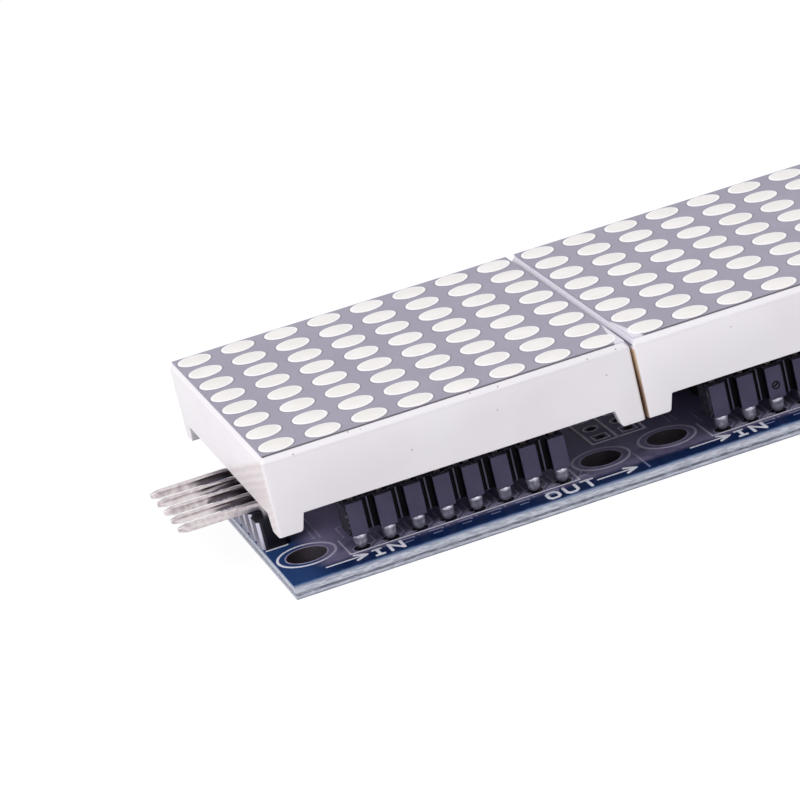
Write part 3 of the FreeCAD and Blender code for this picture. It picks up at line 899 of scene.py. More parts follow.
    def copy(self, offset: Vector) -> "Workpiece":
        """A copy with its own mesh, moved in its mesh."""
        self.choose()
        bpy.ops.object.duplicate()
        bpy.context.active_object.location = offset
        return self.settled()

    def paint(self, materials: list[Material], choice: Callable[[Vector, Vector], int]) -> None:
        """Give each face one of several finishes.

        Args:
            materials: the finishes.
            choice: says from a face's centre and normal which one it gets.
        """
        self.piece.data.materials.clear()
        for material in materials:
            self.piece.data.materials.append(material)
        for face in self.piece.data.polygons:
            face.material_index = choice(face.center, face.normal)

    def wear(self, material: Material) -> None:
        """Give the whole piece one finish."""
        self.paint([material], lambda centre, normal: 0)

    def fit(self, name: str, slot: str, replaced: str = "") -> None:
        """Make the piece part of the module.

        Args:
            name: the piece's name.
            slot: the material slot that it belongs to; not used.
            replaced: the solid that it stands for, or nothing.
        """
        self.piece.name = name
        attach(self.piece, BODY)
        if replaced:
            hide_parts(replaced)
        log.info("%s: %d faces", name, len(self.piece.data.polygons))


def display_x(number: int) -> float:
    """The place of a display's centre along the board."""
    low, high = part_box(f"display_{number}_housing")
    return (low.x + high.x) / 2


def shift_to(number: int) -> Vector:
    """How far a display lies from the first one."""
    return Vector((display_x(number) - display_x(1), 0, 0))


def from_axes(point: Vector, middle: Vector) -> Flat:
    """How far a point lies from the middle along X and along Y."""
    return abs(point.x - middle.x), abs(point.y - middle.y)


@dataclass
class Housing:
    """The white housing of a display: an open tray, face up, that stands on four corner feet."""

    wall: float = 1.2 * MM
    reflector_depth: float = 3.0 * MM
    rim_setback: float = 0.3 * MM
    rim_height: float = 0.5 * MM
    foot_height: float = 1.5 * MM
    foot_width: float = 2.45 * MM
    foot_taper: float = 0.4 * MM
    foot_rounding: float = 0.2 * MM
    corner_rounding: float = 0.28 * MM
    edge_rounding: float = 0.07 * MM

    def foot_gap(self, low: Vector, high: Vector, along_x: bool) -> Workpiece:
        """The tapered block that is cut from two opposite walls, and leaves the feet.

        Args:
            low: the housing's lowest corner.
            high: the housing's highest corner.
            along_x: whether the block passes through along X, and not along Y.

        Returns:
            The cutting tool.
        """
        root = Vector((-MM, self.foot_width, 0)) if along_x else Vector((self.foot_width, -MM, 0))
        start = Vector((low.x, low.y, low.z - self.foot_height)) + root
        end = Vector((high.x, high.y, low.z + self.foot_height)) - root
        tool = Workpiece.block(start, end)
        wider = 1 + 2 * self.foot_taper / ((high.x - low.x) / 2 - self.foot_width)
        with tool.editing(Pick.POINTS):
            tool.pick_points(lambda point: point.z < low.z)
            value = (1, wider, 1) if along_x else (wider, 1, 1)
            bpy.ops.transform.resize(value=value, center_override=(low + high) / 2)
        return tool

    def build(self, number: int) -> Workpiece:
        """Model one housing in the place of its solid.

        Args:
            number: the display's number.

        Returns:
            The finished shape.
        """
        low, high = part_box(f"display_{number}_housing")
        half = (high.x - low.x) / 2
        middle = (low + high) / 2
        work = Workpiece.block(low, high)
        with work.editing(Pick.FACES):
            work.pick_faces(lambda centre, normal: normal.z < -FACING)
            bpy.ops.mesh.inset(thickness=self.wall)
            work.extrude(Vector((0, 0, high.z - low.z - self.reflector_depth)))
            work.pick_faces(lambda centre, normal: normal.z > FACING and centre.z > high.z - NEAR)
            bpy.ops.mesh.inset(thickness=self.rim_setback)
        with work.editing(Pick.POINTS):
            inside = half - self.rim_setback / 2
            work.pick_points(lambda point: point.z > high.z - NEAR and max(from_axes(point, middle)) > inside)
            bpy.ops.transform.translate(value=(0, 0, -self.rim_height))
        with work.editing(Pick.EDGES):
            corner = half - 1.5 * self.rim_setback
            work.pick_edges(lambda one, other: abs(one.z - other.z) > NEAR
                            and min(from_axes(one, middle) + from_axes(other, middle)) > corner)
            bpy.ops.mesh.bevel(offset=self.corner_rounding, segments=4)
        for along_x in (True, False):
            work.cut_with(self.foot_gap(low, high, along_x))
        with work.editing(Pick.EDGES):
            arm = half - self.wall - self.rim_setback
            work.pick_edges(lambda one, other: all(point.z < low.z + NEAR / 10 and min(from_axes(point, middle)) < arm
                                                   for point in (one, other)))
            bpy.ops.mesh.bevel(offset=self.foot_rounding, segments=3)
        work.soften(self.edge_rounding)
        return work


@dataclass
class Dots:
    """The resin dots of a display, one mesh with a low crowned disc for each dot."""

    pitch: float = 4.0 * MM
    per_side: int = 8
    radius: float = 1.5 * MM
    crown_inset: float = 0.12 * MM
    crown_start: float = 0.6
    sides: int = 28

    def build(self, number: int) -> Workpiece:
        """Model the dots of a display in the place of their solids.

        Args:
            number: the display's number.

        Returns:
            The finished shape.
        """
        low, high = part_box(f"display_{number}_dots")
        first = (self.per_side - 1) / 2 * self.pitch
        foot = Vector((display_x(number) - first, -first, low.z))
        rise = high.z - low.z
        stations = [(self.radius, 0), (self.radius, self.crown_start * rise), (self.radius - self.crown_inset, rise)]
        work = Workpiece.turned(foot, stations, self.sides)
        work.repeat(Vector((self.pitch, 0, 0)), self.per_side)
        work.repeat(Vector((0, self.pitch, 0)), self.per_side)
        work.smooth()
        return work


@dataclass
class SocketStrip:
    """A socket strip: square cells parted by grooves, with a thin rib in each groove and torn ends."""

    pitch: float = 2.54 * MM
    pins: int = 8
    groove: float = 1.06 * MM
    groove_depth: float = 0.75 * MM
    rib: float = 0.22 * MM
    rib_height: float = 0.12 * MM
    cavity: float = 0.9 * MM
    rounding: float = 0.04 * MM
    torn_length: float = 0.4 * MM
    torn_cuts: int = 6
    torn_share: float = 0.5
    torn_setback: float = 0.06 * MM
    torn_roughness: float = 0.6
    torn_seed: int = 4
    mark_level: float = 0.41
    mark_ring: Flat = (0.25 * MM, 0.37 * MM)
    mark_bar: float = 0.16 * MM
    mark_height: float = 0.02 * MM

    def first_pin(self, node: str) -> float:
        """The place of a strip's first pin along X."""
        low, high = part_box(node)
        middle = (low + high) / 2
        return middle.x - (self.pins - 1) / 2 * self.pitch

    def build(self, node: str) -> Workpiece:
        """Model a strip in the place of its solid.

        Args:
            node: the solid's name.

        Returns:
            The finished shape.
        """
        low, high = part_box(node)
        middle = (low + high) / 2
        core = Vector((0, self.groove_depth, 0))
        work = Workpiece.block(low + core, high - core)
        first_pin = self.first_pin(node)
        grooves = [first_pin + (place + 0.5) * self.pitch for place in range(self.pins - 1)]
        with work.editing(Pick.FACES):
            for groove in grooves:
                for offset in (-self.groove / 2, self.groove / 2, -self.rib / 2, self.rib / 2):
                    work.bisect(Vector((groove + offset, 0, 0)), Vector((1, 0, 0)))
            for side in SIDES:
                work.pick_faces(lambda centre, normal: normal.y * side > FACING
                                and min(abs(centre.x - groove) for groove in grooves) > self.groove / 2)
                work.extrude(Vector((0, side * self.groove_depth, 0)))
                work.pick_faces(lambda centre, normal: normal.y * side > FACING
                                and min(abs(centre.x - groove) for groove in grooves) < self.rib / 4)
                work.extrude(Vector((0, side * self.rib_height, 0)))
        half = Vector((self.cavity / 2, self.cavity / 2, 0))
        mouth = Vector((first_pin, middle.y, 0))
        cavities = Workpiece.block(mouth - half + Vector((0, 0, low.z + MM)),
                                   mouth + half + Vector((0, 0, high.z + MM)))
        cavities.repeat(Vector((self.pitch, 0, 0)), self.pins)
        work.cut_with(cavities)
        work.soften(self.rounding, 1)
        self.tear_ends(work, middle.x)
        return work

    def tear_ends(self, work: Workpiece, middle: float) -> None:
        """Pull both ends out into rough stubs, as if the strip was snapped from a longer one.

        Args:
            work: the strip.
            middle: the middle of the strip along X.
        """
        for side in SIDES:
            end = max(abs(point.co.x - middle) for point in work.piece.data.vertices)
            with work.editing(Pick.FACES):
                work.pick_faces(lambda centre, normal: normal.x * side > FACING
                                and (centre.x - middle) * side > end - self.rounding / 4)
                bpy.ops.mesh.inset(thickness=self.torn_setback)
                work.extrude(Vector((side * self.torn_share * self.torn_length, 0, 0)))
                bpy.ops.mesh.subdivide(number_cuts=self.torn_cuts, fractal=self.torn_roughness,
                                       fractal_along_normal=1, seed=self.torn_seed + side)
                limit = end + self.torn_length
                work.pick_points(lambda point: (point.x - middle) * side > limit)
                bpy.ops.transform.resize(value=(0, 1, 1), center_override=(middle + side * limit, 0, 0))

    def paint(self, work: Workpiece, node: str, finishes: list[Material]) -> None:
        """Give the strip its finishes: slate cells, grooves painted black as shade, ribs painted a paler slate as
        light, and rough ends and top.

        Args:
            work: the strip.
            node: the name of the solid in its place.
            finishes: the slate, the black of the grooves' painted shade, the torn finish and the ribs' paler slate of
                painted light.
        """
        low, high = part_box(node)
        rib_top = self.groove_depth - self.rib_height

        def choice(centre: Vector, normal: Vector) -> int:
            """The finish's number for one face."""
            if min(centre.x - low.x, high.x - centre.x) < self.rounding / 2 or centre.z > high.z - self.rounding / 2:
                return 2
            depth = min(centre.y - low.y, high.y - centre.y)
            if abs(normal.y) > FACING and abs(depth - rib_top) < self.rib_height / 4:
                return 3
            return int(depth > self.rounding and abs(normal.z) < 0.5)

        work.paint(finishes, choice)

    def gate_mark(self, node: str, cell: int) -> Workpiece:
        """The small round mark that the mould left on one cell.

        Args:
            node: the name of the strip's solid.
            cell: which cell has it, from 0.

        Returns:
            The mark, on the front of the strip.
        """
        low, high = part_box(node)
        height = low.z + self.mark_level * (high.z - low.z)
        place = Vector((self.first_pin(node) + cell * self.pitch, low.y, height))
        ends = Vector((-0.1, -0.06, 0)) * MM, Vector((0.1, 0.1, 0)) * MM
        mark = Workpiece.joined([Workpiece.ring(Vector((0, 0, 0)), self.mark_ring, self.mark_height, 20),
                                 Workpiece.stroke(*ends, self.mark_bar, self.mark_height)])
        mark.turn_to(place, math.pi / 2, "X")
        return mark


@dataclass
class SolderJoint:
    """A joint between the board and a cell: a cup of solder, wide at the top, in a dark ring on the board, painted as
    the shade that the pad mirrors.
    """

    pitch: float = 2.54 * MM
    pins: int = 8
    row: float = 12.6 * MM
    ring_row: float = 12.45 * MM
    radius: float = 0.62 * MM
    ring: Flat = (0.2 * MM, 0.72 * MM)
    ring_height: float = 0.015 * MM
    sides: int = 18
    ring_sides: int = 24
    smooth_to: float = 75.0
    profile: tuple[Flat, ...] = ((0.5, 0.0), (0.62, 0.08), (0.74, 0.2), (0.84, 0.36), (0.9, 0.44), (0.88, 0.52),
                                 (0.94, 0.66), (0.99, 0.76), (1.0, 0.84), (0.94, 0.94), (0.8, 1.02), (0.55, 1.06))

    def spread(self, work: Workpiece, row: float) -> Workpiece:
        """Repeat a joint's piece for every cell of both strips, whose rows lie so far from the middle."""
        work.repeat(Vector((self.pitch, 0, 0)), self.pins)
        work.repeat(Vector((0, 2 * row, 0)), 2)
        return work

    def build(self, number: int, board_top: float, cell_bottom: float) -> tuple[Workpiece, Workpiece]:
        """Model the joints of both strips of a display.

        Args:
            number: the display's number.
            board_top: the height that the joints stand on.
            cell_bottom: the height of the cells' undersides.

        Returns:
            The joints, and the dark rings round their feet, painted as shade.
        """
        tall = cell_bottom - board_top
        stations = [(self.radius * share, tall * level) for share, level in self.profile]
        foot = Vector((display_x(number) - (self.pins - 1) / 2 * self.pitch, -self.row, board_top))
        joints = self.spread(Workpiece.turned(foot, stations, self.sides), self.row)
        joints.smooth(self.smooth_to)
        foot.y = -self.ring_row
        rings = self.spread(Workpiece.ring(foot, self.ring, self.ring_height, self.ring_sides), self.ring_row)
        return joints, rings


@dataclass
class DriverBoard:
    """The blue board: its holes, bare pads, tracks and printed marks."""

    skin: float = 0.02 * MM
    hole_radius: float = 1.75 * MM
    hole_from_section_line: float = 3.0 * MM
    hole_from_edge: float = 6.0 * MM
    lip_width: float = 0.12 * MM
    pad_rows: int = 5
    pad_pitch: float = 2.54 * MM
    pad_from_line: float = 1.25 * MM
    pad_radius: float = 0.72 * MM
    pad_line: float = 0.13 * MM
    pad_hole: float = 0.42 * MM
    pin_hole: float = 0.6 * MM
    print_width: float = 0.15 * MM
    print_height: float = 0.03 * MM
    track_width: float = 0.16 * MM
    hole_ring: Flat = (2.36 * MM, 2.58 * MM)
    joint_ring: Flat = (0.72 * MM, 0.82 * MM)
    joint_row: float = 12.38 * MM
    joints: int = 8
    marked_to: float = 8.0
    step: float = 0.002 * MM
    hole_sides: int = 48
    pad_sides: int = 28
    pin_sides: int = 20

    def __post_init__(self) -> None:
        """Read the board's box and work out the places that follow from it."""
        self.low, self.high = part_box("main_board")
        self.section_half = shift_to(2).x / 2
        self.hole_x = self.section_half - self.hole_from_section_line
        self.hole_y = self.high.y - self.hole_from_edge
        lines = [(display_x(number) + display_x(number + 1)) / 2 for number in DISPLAYS[:-1]]
        columns = [line + side * self.pad_from_line for line in lines for side in SIDES]
        rows = [(place - (self.pad_rows - 1) / 2) * self.pad_pitch for place in range(self.pad_rows)]
        self.bare_pads = [(x, y) for x in columns + [self.high.x - self.pad_from_line] for y in rows]
        self.header_pads = [(self.low.x + self.pad_from_line, y) for y in rows]
        self.front_row = rows[0]

    def drill(self, radius: float, places: list[Flat], sides: int) -> Workpiece:
        """One tool that cuts round holes right through.

        Args:
            radius: the holes' radius.
            places: their centres.
            sides: how many sides a hole has.

        Returns:
            The cutting tool.
        """
        stations = [(radius, -MM), (radius, self.high.z - self.low.z + MM)]
        return Workpiece.joined([Workpiece.turned(Vector((x, y, self.low.z)), stations, sides) for x, y in places])

    def hole_places(self, number: int) -> list[Flat]:
        """The centres of the four mounting holes of a display's section."""
        return [(display_x(number) + x_side * self.hole_x, y_side * self.hole_y)
                for x_side in SIDES for y_side in SIDES]

    def hole_rings(self, number: int, radii: Flat, height: float) -> list[Workpiece]:
        """Model a flat ring on the board round each mounting hole of a display's section."""
        return [Workpiece.ring(Vector((x, y, self.high.z)), radii, height, self.hole_sides)
                for x, y in self.hole_places(number)]

    def build_board(self) -> Workpiece:
        """Model the board with its holes."""
        board = Workpiece.block(self.low + Vector((0, 0, self.skin)), self.high)
        mounting_places = [place for number in DISPLAYS for place in self.hole_places(number)]
        for radius, places, sides in ((self.hole_radius, mounting_places, self.hole_sides),
                                      (self.pad_hole, self.bare_pads, self.pin_sides),
                                      (self.pin_hole, self.header_pads, self.pin_sides)):
            board.cut_with(self.drill(radius, places, sides))
        return board

    def paint_board(self, board: Workpiece, finishes: list[Material]) -> None:
        """Give the board its finishes.

        Args:
            board: the board.
            finishes: the lacquer, the sawn edge and the drilled wall, painted dark as shade.
        """
        def choice(centre: Vector, normal: Vector) -> int:
            """The finish's number for one face."""
            if abs(normal.z) > 0.5:
                return 0
            outer = min(self.high.x - abs(centre.x), self.high.y - abs(centre.y)) < self.skin
            return 1 if outer else 2

        board.paint(finishes, choice)

    def build_pads(self) -> Workpiece:
        """Model the pads: on the top only a bright outline round each, a painted highlight along its edge with its
        middle left to the board's colour, and the whole pads on the underside.
        """
        pads = []
        for x, y in self.bare_pads:
            top = Vector((x, y, self.high.z))
            if y == self.front_row:
                reach = self.pad_radius - self.pad_line / 2
                corners = [top + Vector((a * reach, b * reach, 0)) for a, b in
                           ((-1, -1), (1, -1), (1, 1), (-1, 1), (-1, -1))]
                pads += [Workpiece.stroke(one, other, self.pad_line, self.skin)
                         for one, other in zip(corners, corners[1:])]
            else:
                radii = (self.pad_radius - self.pad_line, self.pad_radius)
                pads.append(Workpiece.ring(top, radii, self.skin, self.pad_sides))
        for places, hole in ((self.bare_pads, self.pad_hole), (self.header_pads, self.pin_hole)):
            radii = (1.04 * hole, self.pad_radius + 0.2 * MM)
            pads += [Workpiece.ring(Vector((x, y, self.low.z)), radii, self.skin, self.pad_sides) for x, y in places]
        return Workpiece.joined(pads)

    def strokes(self, lines: list[list[Flat]], width: float, middle: float, height: float) -> list[Workpiece]:
        """Draw lines on the board's top.

        Args:
            lines: the corners of each line, in millimetres from a display's centre.
            width: the lines' width.
            middle: the display's centre along the board.
            height: their thickness, which grows by a step from stroke to stroke.

        Returns:
            One piece for each stroke.
        """
        drawn = []
        for points in lines:
            ends = [Vector((middle + x * MM, y * MM, self.high.z)) for x, y in points]
            drawn += [Workpiece.stroke(one, other, width, height + place * self.step)
                      for place, (one, other) in enumerate(zip(ends, ends[1:]))]
        return drawn

    def arrow(self, tail: Flat, tip: Flat, middle: float) -> list[Workpiece]:
        """Draw an arrow along +X, with a notched head.

        Args:
            tail: where it starts, in millimetres from a display's centre.
            tip: where it points.
            middle: the display's centre along the board.

        Returns:
            One piece for each stroke.
        """
        x, y = tip
        drawn = self.strokes([[tail, (x - 0.3, y)]], 1.3 * self.print_width, middle, self.print_height)
        for lift, reach in enumerate((0.62, 0.36), start=2):
            barbs = [(x - 1.6 * reach, y + reach), (x - 0.1, y), (x - 1.6 * reach, y - reach)]
            drawn += self.strokes([barbs], 1.9 * self.print_width, middle, self.print_height + 2 * lift * self.step)
        return drawn

    def marks(self, number: int) -> Workpiece:
        """Model the printed marks of one display's section.

        Args:
            number: the display's number.

        Returns:
            The marks as one piece.
        """
        middle = display_x(number)
        around = [[(-10.1, side * 9.3), (-10.1, side * 13.2), (10.1, side * 13.2), (10.1, side * 9.3)]
                  for side in SIDES]
        drawn = self.strokes(around, self.print_width, middle, self.print_height)
        drawn += self.arrow((-12.5, -14.3), (-8.95, -14.3), middle)
        drawn += self.arrow((11.25, -14.6), (14.75, -14.6), middle)
        letters = [
            [(-8.42, -13.95), (-7.78, -13.95)], [(-8.1, -13.95), (-8.1, -15.3)], [(-8.42, -15.3), (-7.78, -15.3)],
            [(-7.05, -15.3), (-7.05, -13.75), (-6.0, -15.3), (-6.0, -13.75)],
            [(6.72, -14.4), (6.95, -14.1), (7.45, -14.1), (7.68, -14.4), (7.68, -15.2), (7.45, -15.5),
             (6.95, -15.5), (6.72, -15.2), (6.72, -14.4)],
            [(8.3, -14.05), (8.3, -15.2), (8.55, -15.5), (9.05, -15.5), (9.3, -15.2), (9.3, -14.05)],
            [(9.95, -13.85), (10.95, -13.85)], [(10.45, -13.85), (10.45, -15.5)],
        ]
        for lift, line in enumerate(letters):
            height = self.print_height + lift % 3 * 8 * self.step
            drawn += self.strokes([line], 1.75 * self.print_width, middle, height)
        drawn += self.hole_rings(number, self.hole_ring, self.print_height)
        drawn += self.strokes(self.pad_boxes(number), 1.5 * self.print_width, middle, self.print_height)
        return Workpiece.joined(drawn)

    def pad_boxes(self, number: int) -> list[list[Flat]]:
        """Lay out the printed lines round the bare pads and the header, and the line between two sections.

        Args:
            number: the display's number.

        Returns:
            The corners of each line, in millimetres from the display's centre.
        """
        line = self.section_half / MM
        inner, outer, reach = line - 2.4, line - 0.1, 6.4
        start, end, wide_reach = 15.6, 13.8, 6.45
        lines = [[(-inner, reach), (-inner, -reach), (-outer, -reach)],
                 [(outer, -reach), (inner, -reach), (inner, reach), (outer, reach)]]
        closed = [(start, -wide_reach), (end, -wide_reach), (end, wide_reach), (start, wide_reach)]
        if number == DISPLAYS[0]:
            lines[0] = [(-x, y) for x, y in closed]
        if number == DISPLAYS[-1]:
            lines[1] = closed
        else:
            lines.append([(outer, -reach), (outer, reach)])
        return lines

    def tracks(self, number: int) -> Workpiece:
        """Model the copper tracks of one section that show under the lacquer.

        Args:
            number: the display's number.

        Returns:
            The tracks as one piece.
        """
        middle = display_x(number)
        beside_cell = (((0.95, 12.95), (1.35, 12.45), (1.9, 12.45)), ((1.2, 13.0), (1.5, 12.7), (2.1, 12.7)),
                       ((0.8, 12.4), (1.3, 11.8), (1.3, 10.2)), ((1.6, 12.1), (1.9, 11.7), (1.9, 9.8)))
        before_cell = (((0.46, -13.75), (1.55, -13.75), (1.55, -13.95)), ((0.6, -14.5), (1.3, -14.5)),
                       ((2.0, -13.7), (2.08, -13.7)))
        lines: list[list[Flat]] = []
        for place in range(self.joints):
            cell = (place - (self.joints - 1) / 2) * self.pad_pitch / MM
            lines += [[(cell + x, side * y) for x, y in line] for side in SIDES for line in beside_cell]
            if abs(cell) < self.marked_to:
                lines += [[(cell + x, y) for x, y in line] for line in before_cell]
        lines += [[(-11.0, -1.0), (-11.05, -7.1)], [(-11.45, -1.0), (-11.6, -7.1)],
                  [(-9.5, -9.0), (-9.5, -6.3), (-8.5, -6.2)], [(15.6, -11.2), (15.6, -15.4)]]
        drawn = self.strokes(lines, self.track_width, middle, self.skin)
        drawn += self.hole_rings(number, (self.hole_radius, self.hole_radius + self.lip_width), self.skin)
        for side in SIDES:
            place = Vector((middle - (self.joints - 1) / 2 * self.pad_pitch, side * self.joint_row, self.high.z))
            rings = Workpiece.ring(place, self.joint_ring, self.skin / 2, self.pad_sides)
            rings.repeat(Vector((self.pad_pitch, 0, 0)), self.joints)
            drawn.append(rings)
        return Workpiece.joined(drawn)


@dataclass
class Studio:
    """The pale floor, the soft lights and the camera of the picture."""

    eye: Vector
    aim: Vector
    roll: float = math.radians(-13.77)
    focal_length: float = 176.67
    frame_width: float = 36.0
    nearest: float = 10 * MM
    floor_size: float = 6.0
    floor_gap: float = 0.01 * MM
    shadow_fade: float = 2 * MM
    paint: Colour = pigment(225, 225, 228)
    shadow: Colour = pigment(40, 36, 42)
    floor_glow: float = 0.82
    floor_dim: Colour = pigment(130, 130, 132)
    world: Colour = pigment(252, 252, 255)
    world_light: float = 0.45

    def lay_floor(self, half: Vector) -> None:
        """Lay a pale floor that looks white and keeps the module's shadow.

        Args:
            half: half the size of the board, under which the floor is painted dark as the module's shadow and does not
                glow.
        """
        Workpiece.clear()
        bpy.ops.mesh.primitive_plane_add(size=self.floor_size, location=(0, 0, -self.floor_gap))
        floor = Workpiece.settled()
        floor.piece.name = "floor"
        graph = Graph("pale_floor")
        x, y, _ = graph.axes()
        edge = self.shadow_fade
        # Painted shadow: under the board the floor is painted dark, and the camera sees that paint in place of the
        # glow.
        outside = abs(x).fade(half.x - edge, half.x).greater(abs(y).fade(half.y - edge, half.y))
        paint = graph.node("ShaderNodeBsdfDiffuse", {}, {"Color": graph.mix(outside, self.shadow, self.paint)})
        white = {"Color": pigment(255, 255, 255), "Strength": self.floor_glow}
        dim = graph.node("ShaderNodeBsdfDiffuse", {}, {"Color": self.floor_dim})
        bright = graph.node("ShaderNodeAddShader", {}, {0: graph.node("ShaderNodeEmission", {}, white), 1: dim})
        shown = self.seen(graph) * outside
        graph.end(graph.node("ShaderNodeMixShader", {}, {0: shown, 1: paint, 2: bright}))
        floor.wear(graph.owner)

    @staticmethod
    def seen(graph: Graph) -> Value:
        """1 for what the camera sees, straight or through a gloss or a glass, and 0 for light."""
        path = graph.node("ShaderNodeLightPath", {}, {}).socket.node
        camera, glossy, clear = (Value(graph, path.outputs[name]) for name in
                                 ("Is Camera Ray", "Is Glossy Ray", "Is Transmission Ray"))
        return camera.greater(glossy).greater(clear)

    def light_world(self) -> None:
        """Surround the module with even light, in front of a white background."""
        graph = Graph("studio", world=True)
        bpy.context.scene.world = graph.owner
        strength = self.seen(graph) * (1 - self.world_light) + self.world_light
        glow = graph.node("ShaderNodeBackground", {}, {"Color": self.world, "Strength": strength})
        graph.end(glow, "ShaderNodeOutputWorld")

    def hang_lamp(self, name: str, place: Vector, size: float, power: float) -> None:
        """Hang a square soft lamp that looks at the module.

        Args:
            name: the lamp's name.
            place: where it hangs.
            size: its side.
            power: its power in watts.
        """
        bpy.ops.object.light_add(type="AREA", location=place)
        lamp = bpy.context.active_object
        lamp.name = name
        lamp.data.size = size
        lamp.data.energy = power
        lamp.rotation_euler = (self.aim - place).to_track_quat("-Z", "Y").to_euler()

    def set_camera(self) -> None:
        """Set the camera at the picture's angle."""
        bpy.ops.object.camera_add(location=self.eye)
        camera = bpy.context.active_object
        facing = (self.aim - self.eye).to_track_quat("-Z", "Y").to_matrix().to_4x4()
        camera.matrix_world = Matrix.Translation(self.eye) @ facing @ Matrix.Rotation(self.roll, 4, "Z")
        camera.data.lens = self.focal_length
        camera.data.sensor_width = self.frame_width
        camera.data.clip_start = self.nearest
        bpy.context.scene.camera = camera


def dress_solid(node: bpy.types.Object, material: Material) -> None:
    """Give a solid of the frame its finish, and leave its shape alone."""
    node.data.materials.clear()
    node.data.materials.append(material)


def fit_in_each_section(first: Workpiece, name: str, slot: str, node: str = "") -> None:
    """Make a piece of the first section part of the module, with a copy of it in each other section.

    Args:
        first: the piece of the first section.
        name: the pieces' name, with a place for the section's number.
        slot: the material slot that they belong to; passed to fit, which does not use it.
        node: the name of the solids that they stand for, with the same place, or nothing.
    """
    for number in DISPLAYS:
        piece = first if number == 1 else first.copy(shift_to(number))
        piece.fit(name.format(number), slot, node.format(number))


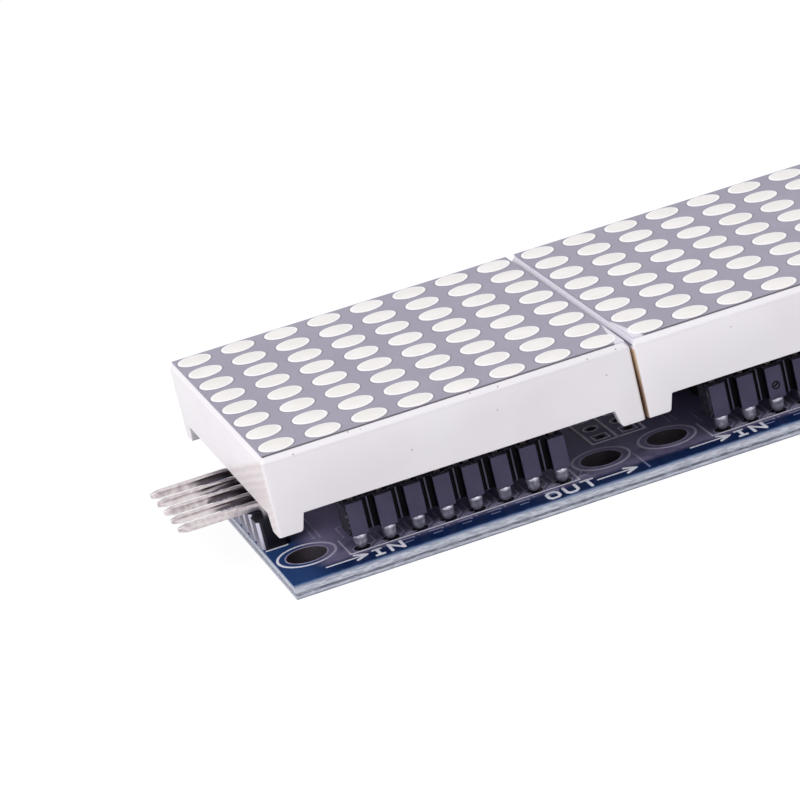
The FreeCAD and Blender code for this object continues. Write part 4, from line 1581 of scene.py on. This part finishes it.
def main() -> None:
    """Set up the studio, mix the finishes and build the module's pieces in order."""
    logging.basicConfig(level=logging.INFO, format="%(message)s")
    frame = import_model()
    nodes = frame["nodes"]
    bpy.context.scene.view_settings.view_transform = "Standard"

    studio = Studio(eye=Vector((-116.1, -307.6, 113.8)) * MM, aim=Vector((-51.26, -12.75, 12.45)) * MM)
    board_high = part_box("main_board")[1]
    studio.set_camera()
    studio.lay_floor(board_high)
    studio.light_world()
    studio.hang_lamp("key", Vector((-0.786, -0.223, 0.738)), 0.7, 7.4)
    studio.hang_lamp("fill", Vector((0.224, -0.805, 0.727)), 0.8, 3.2)

    pitch = shift_to(2).x
    housing_low, housing_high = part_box("display_1_housing")
    white = HousingWhite(pitch, (housing_high.x - housing_low.x) / 2, housing_high.z, pitch).make()
    film_low, film_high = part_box("display_1_face_film")
    first_gap = (display_x(1) + display_x(2)) / 2
    film = FacePrint(film_low.y, pitch, first_gap, first_gap - film_high.x).make()
    resin = DotResin(pitch).make()
    slate = DarkPlastic("socket_slate", pigment(82, 78, 104), pigment(76, 72, 97), 0.36, 0.2).make()
    # Painted light and shade on the strips: the ribs get a paler slate, and the grooves a near black.
    rib = DarkPlastic("socket_rib", pigment(98, 94, 116), pigment(88, 84, 106), 0.4).make()
    groove = DarkPlastic("socket_groove", pigment(14, 12, 18), pigment(10, 8, 13), 0.5, 0.08).make()
    black = DarkPlastic("header_black", pigment(30, 28, 40), pigment(22, 20, 30), 0.4, 0.15).make()
    header_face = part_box("input_header_body")[0].x
    header_side = HeaderSide("header_side", header_face).make()
    # Painted light: the notches' flanks that face the front get a lit copy of the side's finish. It is paler, and dark
    # only deeper in.
    lit_depth = 0.1 * MM
    header_flank = HeaderSide("header_flank", header_face + lit_depth, pigment(206, 204, 220),
                              pigment(176, 174, 192)).make()
    epoxy = DarkPlastic("chip_epoxy", pigment(34, 33, 36), pigment(28, 27, 30), 0.6).make()
    dark_epoxy = DarkPlastic("storage_moulding", pigment(38, 35, 42), pigment(32, 30, 36), 0.5).make()
    ceramic = DarkPlastic("brown_ceramic", pigment(168, 142, 112), pigment(156, 130, 100), 0.5).make()
    torn = TornPlastic().make()
    mask = SolderMask(board_high.y, board_high.x).make()
    copper = OverCopper(board_high.y).make()
    edge = LaminateEdge(board_high.z).make()
    tin = Tin("bright_tin").make()
    pin_tin = PinTin("header_tin", pigment(222, 214, 214), pigment(186, 175, 177)).make()
    solder = SolderTin("solder", pigment(206, 204, 216), pigment(172, 170, 184), pigment(104, 102, 112), 0.24,
                       0.4 * MM, 0.03 * MM, 0.65).make()
    # Painted highlight: the pads' tin is nearly white and barely metal, so that their outlines on the top show as
    # bright edges.
    pad_tin = Tin("pad_tin", pigment(244, 240, 252), pigment(226, 222, 238), pigment(150, 146, 164), 0.5,
                  metal=0.1).make()
    ink = Ink(board_high.y, board_high.x).make()
    # Painted shade: the drilled walls are painted dark, as they lie in shade inside the holes.
    bore = Smooth("drilled_wall", pigment(62, 54, 62), pigment(46, 40, 48), 0.7).make()
    back_resin = Smooth("poured_resin", pigment(206, 202, 210), pigment(196, 192, 202)).make()
    laminate = Smooth("led_laminate", pigment(206, 206, 200), pigment(196, 196, 190), 0.35).make()

    housing = Housing().build(1)
    housing.wear(white)
    fit_in_each_section(housing, "housing_{}", "housing_white", "display_{}_housing")
    dots = Dots().build(1)
    dots.wear(resin)
    fit_in_each_section(dots, "dots_{}", "dot_resin", "display_{}_dots")
    kept = (("display_{}_face_film", film), ("display_{}_led_board", laminate), ("display_{}_resin", back_resin),
            ("display_{}_pins", tin), ("socket_{}_contacts", tin), ("driver_{}_leads", tin))
    for node, material in kept:
        for number in DISPLAYS:
            dress_solid(nodes[node.format(number)], material)

    strip = SocketStrip()
    for row in ("front", "rear"):
        node = f"socket_1_{row}"
        first = strip.build(node)
        strip.paint(first, node, [slate, groove, torn, rib])
        fit_in_each_section(first, f"socket_{row}_{{}}", "socket_plastic", f"socket_{{}}_{row}")
    gate_mark = strip.gate_mark("socket_2_front", 2)
    gate_mark.wear(groove)
    gate_mark.fit("gate_mark", "socket_plastic")

    joints, rings = SolderJoint().build(1, board_high.z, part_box("socket_1_front")[0].z)
    joints.wear(solder)
    # Painted shade: the pads round the joints' feet are painted near black, for the shade that they mirror.
    rings.wear(black)
    fit_in_each_section(joints, "solder_{}", "pin_tin")
    fit_in_each_section(rings, "shaded_pad_{}", "board_blue")

    driver_board = DriverBoard()
    board = driver_board.build_board()
    driver_board.paint_board(board, [mask, edge, bore])
    board.fit("board", "board_blue", "main_board")
    pads = driver_board.build_pads()
    pads.wear(pad_tin)
    pads.fit("pads", "pin_tin")
    for number in DISPLAYS:
        for name, draw, material in (("marks", driver_board.marks, ink), ("tracks", driver_board.tracks, copper)):
            piece = draw(number)
            piece.wear(material)
            piece.fit(f"{name}_{number}", "board_blue")

    header = Workpiece.from_node(nodes["input_header_body"])
    header.soften(0.04 * MM)
    # The faces towards the input get the side's painted light and shade, and the notches' flanks that face the front
    # get its lit copy.
    header.paint([black, header_side, header_flank],
                 lambda centre, normal: (normal.x < -0.4 and abs(normal.z) < 0.2) * (2 if normal.y < -0.3 else 1))
    header.fit("header_body", "header_plastic", "input_header_body")

    softened = [("header_pins", "input_header_pins", pin_tin, "pin_tin", 0.03 * MM)]
    for number in DISPLAYS:
        softened += [(f"chip_{number}", f"driver_{number}_body", epoxy, "chip_black", 0.1 * MM),
                     (f"storage_{number}", f"storage_capacitor_{number}", dark_epoxy, "storage_epoxy", 0.1 * MM),
                     (f"bypass_{number}", f"bypass_capacitor_{number}", ceramic, "chip_ceramic", 0.05 * MM),
                     (f"resistor_{number}", f"set_resistor_{number}", ceramic, "chip_ceramic", 0.04 * MM)]
    for name, node, material, slot, rounding in softened:
        piece = Workpiece.from_node(nodes[node])
        piece.soften(rounding)
        piece.wear(material)
        piece.fit(name, slot, node)


if __name__ == "__main__":
    main()
